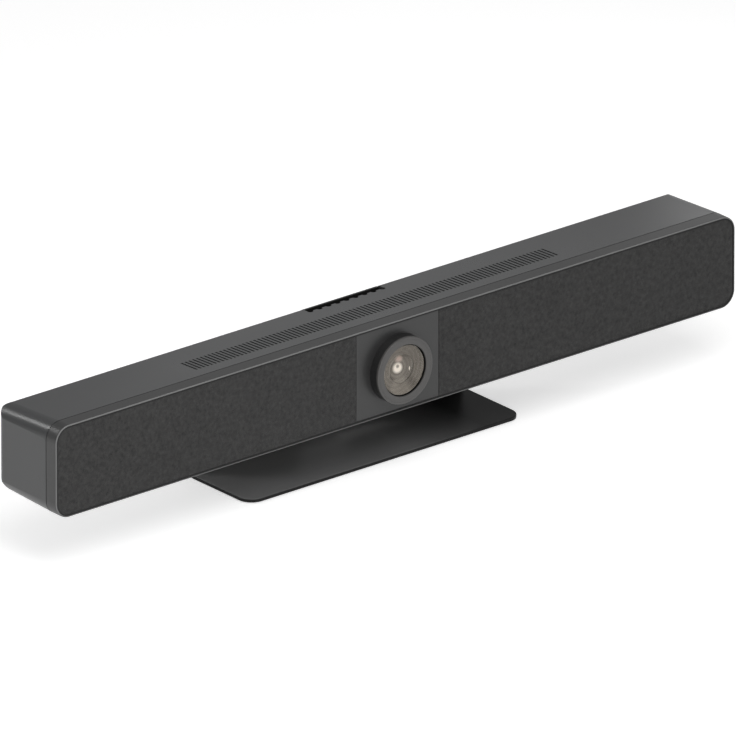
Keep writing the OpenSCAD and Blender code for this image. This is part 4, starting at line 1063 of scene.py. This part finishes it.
@dataclass(frozen=True)
class Screw:
    """A screw with a cylinder head and a hexagon socket, its depths measured from the head's underside."""

    head_r: float
    head_h: float
    shank_r: float
    shank_l: float
    key: float = 1.25
    steps: int = 36

    def head(self) -> Array:
        """The head's wall, face and socket, which goes from a circle to a hexagon: half width / cos of the
        angle from the middle of a flat.

        Returns:
            A grid of points in millimetres, with the turn as its looped first way.
        """
        angle = np.linspace(0, math.tau, self.steps, endpoint=False)
        sector = math.pi / 3
        hexagon = self.key / np.cos((angle % sector) - sector / 2)
        r, h = self.head_r, self.head_h
        rows = [(r, 0.0), (r, h - 0.35), (r - 0.12, h - 0.1), (r - 0.4, h), (self.key * 1.32, h),
                (hexagon, h - 0.12), (hexagon, h * 0.35), (hexagon * 0.4, h * 0.3), (0.0, h * 0.28)]
        return np.stack([arc_at(radius, angle, depth) for radius, depth in rows], 1)

    def drive(self, shell: Shell, place: Sequence[float]) -> None:
        """Adds the head and the pointed shank to a shell, with the head's underside at a place.

        Args:
            shell: what gathers the set.
            place: across, back and up of the head's underside.
        """
        shell.grid(placed(self.head() + np.asarray(place, float)), True)
        r, end = self.shank_r, -self.shank_l
        shank = [(self.head_r, 0), (r, 0), (r, end + 0.5), (r - 0.4, end), (0, end)]
        shell.grid(turned(shank, place, steps=self.steps), True)


@dataclass
class Fixings:
    """The screws at the back and the brass inserts with their threads."""

    leaf_head: float = BAR_D + 1.8
    stand_head: float = 117.35
    case_head: float = 25.9
    insert_depth: float = 10.0
    insert_bore: float = 2.1
    insert_outer: float = 3.5
    tooth: float = 0.32
    teeth: int = 12

    def four(self, across: float, up: float) -> list[tuple[float, float]]:
        """The four places at a distance across and up from the bar's middle."""
        return [(sx * across, MID_Z + sz * up) for sx in SIDES for sz in SIDES]

    def screws(self, name: str, places: Iterable[tuple[float, float]], face: float, kind: Screw,
               body: Body) -> None:
        """A set of screws driven from the rear, which stands for one CAD node.

        Args:
            name: the CAD node's name.
            places: across and up of each screw.
            face: the depth of the head's underside.
            kind: the screw's sizes.
            body: the moving group they ride on.
        """
        shell = Shell()
        for x, z in places:
            kind.drive(shell, (x, face, z))
        shell.build(f"{name}_socket_heads", Finishes.SCREW, body, "screw", 30, [name])

    def inserts(self) -> None:
        """The thread is a saw-tooth in the bore: every second point is a tooth deeper."""
        front, outer = BAR_D - self.insert_depth, self.insert_outer
        count = np.arange(2 * self.teeth + 1)
        saw = np.stack([self.insert_bore + self.tooth * (count % 2),
                        front + self.insert_depth * count / (2 * self.teeth)], -1)
        profile = path(saw, (outer - 0.2, BAR_D), (outer, BAR_D - 0.2), (outer, front))
        shell = Shell()
        for x, z in self.four(190.0, 20.0):
            shell.grid(turned(profile, (x, 0, z), steps=40), True, True)
        shell.build("threaded_inserts", Finishes.BRASS, Body.BAR, "brass", 20, ["wall_inserts"])

    def build(self) -> None:
        """Leaf, stand and case screws, then the inserts."""
        x, _, z = HINGE
        leaf = [(side * x + dx, z + dz) for side in SIDES for dx in (-15.5, 15.5) for dz in (-8.5, 8.5)]
        case = self.four(434.0, 20.0) + self.four(175.0, 39.0)
        low_head = Screw(head_r=3.4, head_h=1.05, shank_r=1.95, shank_l=8.0)
        tall_head = Screw(head_r=3.4, head_h=2.0, shank_r=1.95, shank_l=6.3, key=1.55)
        long_shank = Screw(head_r=3.0, head_h=2.0, shank_r=1.5, shank_l=16.0)
        self.screws("leaf_screws", leaf, self.leaf_head, low_head, Body.BAR)
        self.screws("stand_screws", leaf, self.stand_head, tall_head, Body.STAND)
        self.screws("case_screws", case, self.case_head, long_shank, Body.BAR)
        self.inserts()


@dataclass
class Hinges:
    """Friction washers between the knuckles."""

    inner: float = 3.2
    outer: float = 5.7
    thickness: float = 0.3
    faces: tuple[float, float] = (-7.35, 7.05)

    def build(self) -> None:
        """Each washer is a thin ring with an edged rim in the gap beside the middle knuckle."""
        t, rim = self.thickness, self.outer - 0.08
        profile = [(self.inner, 0), (self.inner, t), (rim, t), (self.outer, t / 2), (rim, 0)]
        x, y, z = HINGE
        for side in SIDES:
            shell = Shell()
            for face in self.faces:
                points = turned(profile, (x + face, y, z), Axis.RIGHT, 48)
                shell.grid(points if side > 0 else mirrored(points), True, True)
            shell.build(f"{side_name(side)}_friction_washers", Finishes.BRASS, Body.STAND, "brass")


@dataclass(frozen=True)
class Tongue:
    """A socket's tongue with a row of contacts on each face.

    Its place is a share of the cable bay's width and a height above the bar's middle; half is the distance
    from its middle plane to a face.
    """

    share: float
    up: float
    count: int
    pitch: float
    half: float


@dataclass
class Ports:
    """The contacts inside the sockets, and the mark on the power button."""

    mouth: float = 71.35
    back: float = 58.55
    bay: tuple[float, float] = (207.0, 126.0)
    springs: int = 8
    spring_pitch: float = 1.27
    tongues: tuple[Tongue, ...] = (
        Tongue(share=0.34, up=0.0, count=9, pitch=0.95, half=0.6),
        Tongue(share=0.52, up=0.0, count=9, pitch=0.95, half=0.6),
        Tongue(share=0.71, up=-5.5, count=4, pitch=2.0, half=0.9),
        Tongue(share=0.71, up=5.5, count=4, pitch=2.0, half=0.9))
    button_x: float = -230.0
    print_t: float = 0.05
    mark_ring: tuple[float, float] = (1.75, 2.2)
    mark_turn: tuple[float, float] = (125.0, 415.0)
    mark_bar: Point = (0.22, 0.5, 2.5)

    def row(self, share: float, count: int, pitch: float) -> Array:
        """Places of a row of contacts about a socket's middle, at a share of the cable bay's width."""
        return self.bay[0] + share * self.bay[1] + (np.arange(count) - (count - 1) / 2) * pitch

    def tapes(self, name: str, paths: Array, width: float) -> None:
        """Spring contacts: a tape of one width carried along each path.

        Args:
            name: the piece's name.
            paths: an array of contacts by points by three, in the bar's millimetres.
            width: the tape's width.
        """
        shell = Shell()
        half = np.array([width / 2, 0, 0])
        for line in paths:
            shell.grid(placed(np.stack([line - half, line + half])))
        thicken(shell.build(name, Finishes.GOLD, Body.BAR, "brass", 40), 0.18, 0)

    def network(self) -> None:
        """Eight springs come down from the roof of the socket and lean back, by a power of a sine."""
        x = self.row(0.14, self.springs, self.spring_pitch)
        t = np.linspace(0, 1, 9)
        height = MID_Z + 5.2 - 4.6 * np.sin(t * math.pi / 2) ** 1.3
        paths = np.stack(np.broadcast_arrays(x[:, None], self.mouth - 2.5 - 9.0 * t, height), -1)
        self.tapes("network_contacts", paths, 0.45)

    def displays(self) -> None:
        """Flat contacts lie on both faces of the tongues and dip towards them by the fourth power."""
        t = np.linspace(0, 1, 5)
        both = np.array(SIDES)[:, None]
        found = []
        for tongue in self.tongues:
            x = self.row(tongue.share, tongue.count, tongue.pitch)[:, None, None]
            height = MID_Z + tongue.up + both * (tongue.half + 0.1 - 0.12 * t ** 4)
            lines = np.stack(np.broadcast_arrays(x, self.back - 1.5 + 10.5 * t, height), -1)
            found.append(lines.reshape(-1, t.size, 3))
        self.tapes("tongue_contacts", np.vstack(found), 0.42)

    def power_mark(self) -> None:
        """The usual ring with a gap and a bar, as a thin print on the button's cap."""
        middle = np.array([self.button_x, BAR_D + 0.4, MID_Z])
        angle = np.linspace(*np.radians(self.mark_turn), 40)
        inner, outer = self.mark_ring
        rows = [(inner, 0.0), (inner, self.print_t), (outer, self.print_t), (outer, 0.0)]
        arc = placed(np.stack([arc_at(r, angle, d) for r, d in rows], 1) + middle)
        shell = Shell().grid(arc, False, True).cap(arc[0]).cap(arc[-1])
        half, low, high = self.mark_bar
        flat = np.array([(-half, 0, low), (half, 0, low), (half, 0, high), (-half, 0, high)])
        bar = placed(np.stack([flat, flat + (0, self.print_t, 0)], 1) + middle)
        shell.grid(bar, True).cap(bar[:, 0]).cap(bar[:, 1])
        shell.build("power_mark", Finishes.MARK, Body.BUTTON, "button")

    def build(self) -> None:
        """Contacts first, then the mark."""
        self.network()
        self.displays()
        self.power_mark()


@dataclass
class Stand:
    """What is added to the bent steel plate: the rubber edge of its cable window."""

    window: tuple[float, float] = (70.0, 24.0)
    window_z: float = 32.6
    corner: float = 6.0
    face: float = 113.75
    steel: float = 3.6
    lip: float = 0.7
    reach: float = 2.2

    def build(self) -> None:
        """The grommet is a channel: a thin lining through the hole with a lip on each side of the steel."""
        near, far, lip, out = self.face, self.face + self.steel, self.lip, -self.reach
        profile = [(0, near), (out, near), (out - 0.2, near - lip / 2), (out, near - lip), (0.8, near - lip),
                   (1.2, near - lip / 3), (1.2, far + lip / 3), (0.8, far + lip), (out, far + lip),
                   (out - 0.2, far + lip / 2), (out, far), (0, far)]
        loop = rounded_loop(*self.window, [self.corner] * 4, 10)
        Shell().grid(ring(loop, profile, (0, self.window_z - BAR_UP)), True, True).build(
            "cable_grommet", Finishes.FOOT, Body.STAND, "rubber", 40)


@dataclass
class CarriedNodes:
    """Dresses the CAD pieces that show as they are; the left and right of a pair share one entry."""

    finishes: dict[Finishes, tuple[str, ...]] = field(default_factory=lambda: {
        Finishes.FRAME: ("front_frame",),
        Finishes.HOUSING: ("rear_housing",),
        Finishes.PANEL: ("centre_panel",),
        Finishes.CARRIER: ("grille_carrier",),
        Finishes.CLOTH: ("grille",),
        Finishes.COLLAR: ("lens_ring",),
        Finishes.HOOD: ("lens_hood",),
        Finishes.GLASS: ("cover_glass",),
        Finishes.BARREL: ("lens_barrel", "lens_holder"),
        Finishes.LENS: ("front_lens", "rear_lens"),
        Finishes.SENSOR: ("image_sensor",),
        Finishes.ZINC: ("camera_bracket", "chassis_plate", "board_screws"),
        Finishes.BOARD: ("sensor_board", "main_board", "mic_board", "antenna", "port_board", "button_board"),
        Finishes.ALLOY: ("heatsink",),
        Finishes.MOULDED_BLACK: ("fan_frame", "fan_rotor", "rear_vent"),
        Finishes.ENCLOSURE: ("enclosure",),
        Finishes.BASKET: ("basket", "tweeter"),
        Finishes.MAGNET: ("magnet",),
        Finishes.CONE: ("cone",),
        Finishes.SURROUND: ("surround",),
        Finishes.SOCKET: ("network_socket", "display_sockets", "data_sockets"),
        Finishes.SOCKET_CORE: ("power_inlet",),
        Finishes.BUTTON: ("power_button",),
        Finishes.STAND: ("stand_plate", "stand_leaf", "bar_leaf"),
        Finishes.PIN: ("hinge_pin",),
        Finishes.FOOT: ("feet",),
        Finishes.BRASS: ("wall_inserts",),
        Finishes.SCREW: ("camera_screws", "case_screws", "leaf_screws", "stand_screws")})

    def dress(self, nodes: dict[str, bpy.types.Object]) -> None:
        """Puts each node's finish in its material slots.

        Args:
            nodes: the CAD's objects by name.
        """
        found = {name: finish for finish, names in self.finishes.items() for name in names}
        for name, made in nodes.items():
            kind = name.removeprefix("left_").removeprefix("right_")
            material = found[kind].value.material()
            made.data.materials.clear()
            made.data.materials.append(material)
            LOG.info("%s: %s", name, material.name)


# Studio


@dataclass(frozen=True)
class Softbox:
    """A square lamp that faces a point."""

    name: str
    place: Point
    towards: Point
    size: float
    radiance: float

    def build(self) -> None:
        """Power is radiance times area times pi."""
        lamp = bpy.data.lights.new(self.name, "AREA")
        lamp.shape = "SQUARE"
        lamp.size = self.size
        lamp.energy = self.radiance * self.size ** 2 * math.pi
        made = bpy.data.objects.new(self.name, lamp)
        made.location = self.place
        aim = Vector(self.towards) - Vector(self.place)
        made.rotation_euler = aim.to_track_quat("-Z", "Y").to_euler()
        bpy.context.scene.collection.objects.link(made)


@dataclass
class Studio:
    """A pale floor, soft light from above, and a long lens at the viewing angle."""

    azimuth: float = -39.705
    elevation: float = 22.544
    aim: Point = (-0.01236, -0.02145, 0.10138)
    width_seen: float = 0.74192
    lens: float = 1700.0
    sensor: float = 36.0
    world: float = 0.33
    floor_grey: float = 0.84
    floor_glow: float = 0.52
    boxes: tuple[Softbox, ...] = (
        Softbox("overhead", (-0.35, -1.25, 2.2), (0, 0, 0.1), 1.9, 2.75),
        Softbox("left_rear", (-0.92, 0.87, 0.88), (-0.44, 0.05, 0.13), 0.28, 9.5),
        Softbox("right_rear", (0.98, 0.50, 0.46), (0.46, 0.0, 0.16), 0.28, 1.05),
        Softbox("left_side", (-2.0, -0.3, 1.0), (-0.4, 0, 0.1), 1.2, 0.12),
        Softbox("rear_sheen", (0.84, 1.05, 0.82), (0.05, 0, 0.16), 0.5, 0.4),
        Softbox("left_front", (-1.0, -1.3, 0.6), (-0.35, 0, 0.06), 0.55, 3.3))

    def floor(self) -> None:
        """The floor keeps the shadow and adds a glow that only the camera and mirror rays see; seen from
        below it is clear."""
        half = 30.0
        corner = np.array([(-half, -half, 0), (half, -half, 0), (half, half, 0), (-half, half, 0)])
        mesh = bpy.data.meshes.new("floor")
        mesh.from_pydata(corner, [], [[0, 1, 2, 3]])
        made = bpy.data.objects.new("floor", mesh)
        bpy.context.scene.collection.objects.link(made)
        material = bpy.data.materials.new("floor_paper")
        material.use_nodes = True
        graph = Graph(material.node_tree)
        seen = graph.node("ShaderNodeLightPath")
        rays = seen.out("Is Camera Ray").most(seen.out("Is Glossy Ray")).most(seen.out("Is Transmission Ray"))
        paper = graph.shades(graph.noise(graph.place(), 300.0, 2.0), grey(self.floor_grey), 0.99, 1.01)
        diffuse = graph.node("ShaderNodeBsdfDiffuse", inputs={0: paper})
        glow = graph.node("ShaderNodeEmission", inputs={1: rays * self.floor_glow})
        both = graph.node("ShaderNodeAddShader", inputs={0: diffuse, 1: glow})
        clear = graph.node("ShaderNodeBsdfTransparent")
        graph.finish(graph.mixed(graph.node("ShaderNodeNewGeometry").out("Backfacing"), both, clear))
        mesh.materials.append(material)

    def sky(self) -> None:
        """White to the camera, soft grey to everything else."""
        world = bpy.data.worlds.new("studio")
        bpy.context.scene.world = world
        world.use_nodes = True
        graph = Graph(world.node_tree)
        seen = graph.node("ShaderNodeLightPath").out("Is Camera Ray")
        strength = seen * (1 - self.world) + self.world
        background = graph.node("ShaderNodeBackground", inputs={0: (1, 1, 1, 1), 1: strength})
        graph.node("ShaderNodeOutputWorld", inputs={0: background})

    def camera(self) -> None:
        """Stands back along the line of sight, as far as the lens needs to see the given width."""
        a, e = math.radians(self.azimuth), math.radians(self.elevation)
        back = Vector((math.sin(a) * math.cos(e), -math.cos(a) * math.cos(e), math.sin(e)))
        data = bpy.data.cameras.new("camera")
        data.lens, data.sensor_width = self.lens, self.sensor
        data.clip_start, data.clip_end = 1.0, 120.0
        made = bpy.data.objects.new("camera", data)
        made.location = Vector(self.aim) + back * (self.width_seen * self.lens / self.sensor)
        made.rotation_mode = "QUATERNION"
        made.rotation_quaternion = (-back).to_track_quat("-Z", "Y")
        bpy.context.scene.collection.objects.link(made)
        bpy.context.scene.camera = made

    def build(self) -> None:
        """Floor, sky, lamps and camera."""
        self.floor()
        self.sky()
        for box in self.boxes:
            box.build()
        self.camera()
        bpy.context.scene.view_settings.view_transform = "Standard"


def main() -> None:
    """Builds the scene: dresses the CAD's nodes, then adds the new pieces and the studio."""
    logging.basicConfig(level=logging.INFO, format="%(message)s")
    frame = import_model()
    CarriedNodes().dress(frame["nodes"])
    for part in (FrontFrame(), Grilles(), LensUnit(), Fixings(), Hinges(), Ports(), Stand(), Studio()):
        part.build()


if __name__ == "__main__":
    main()
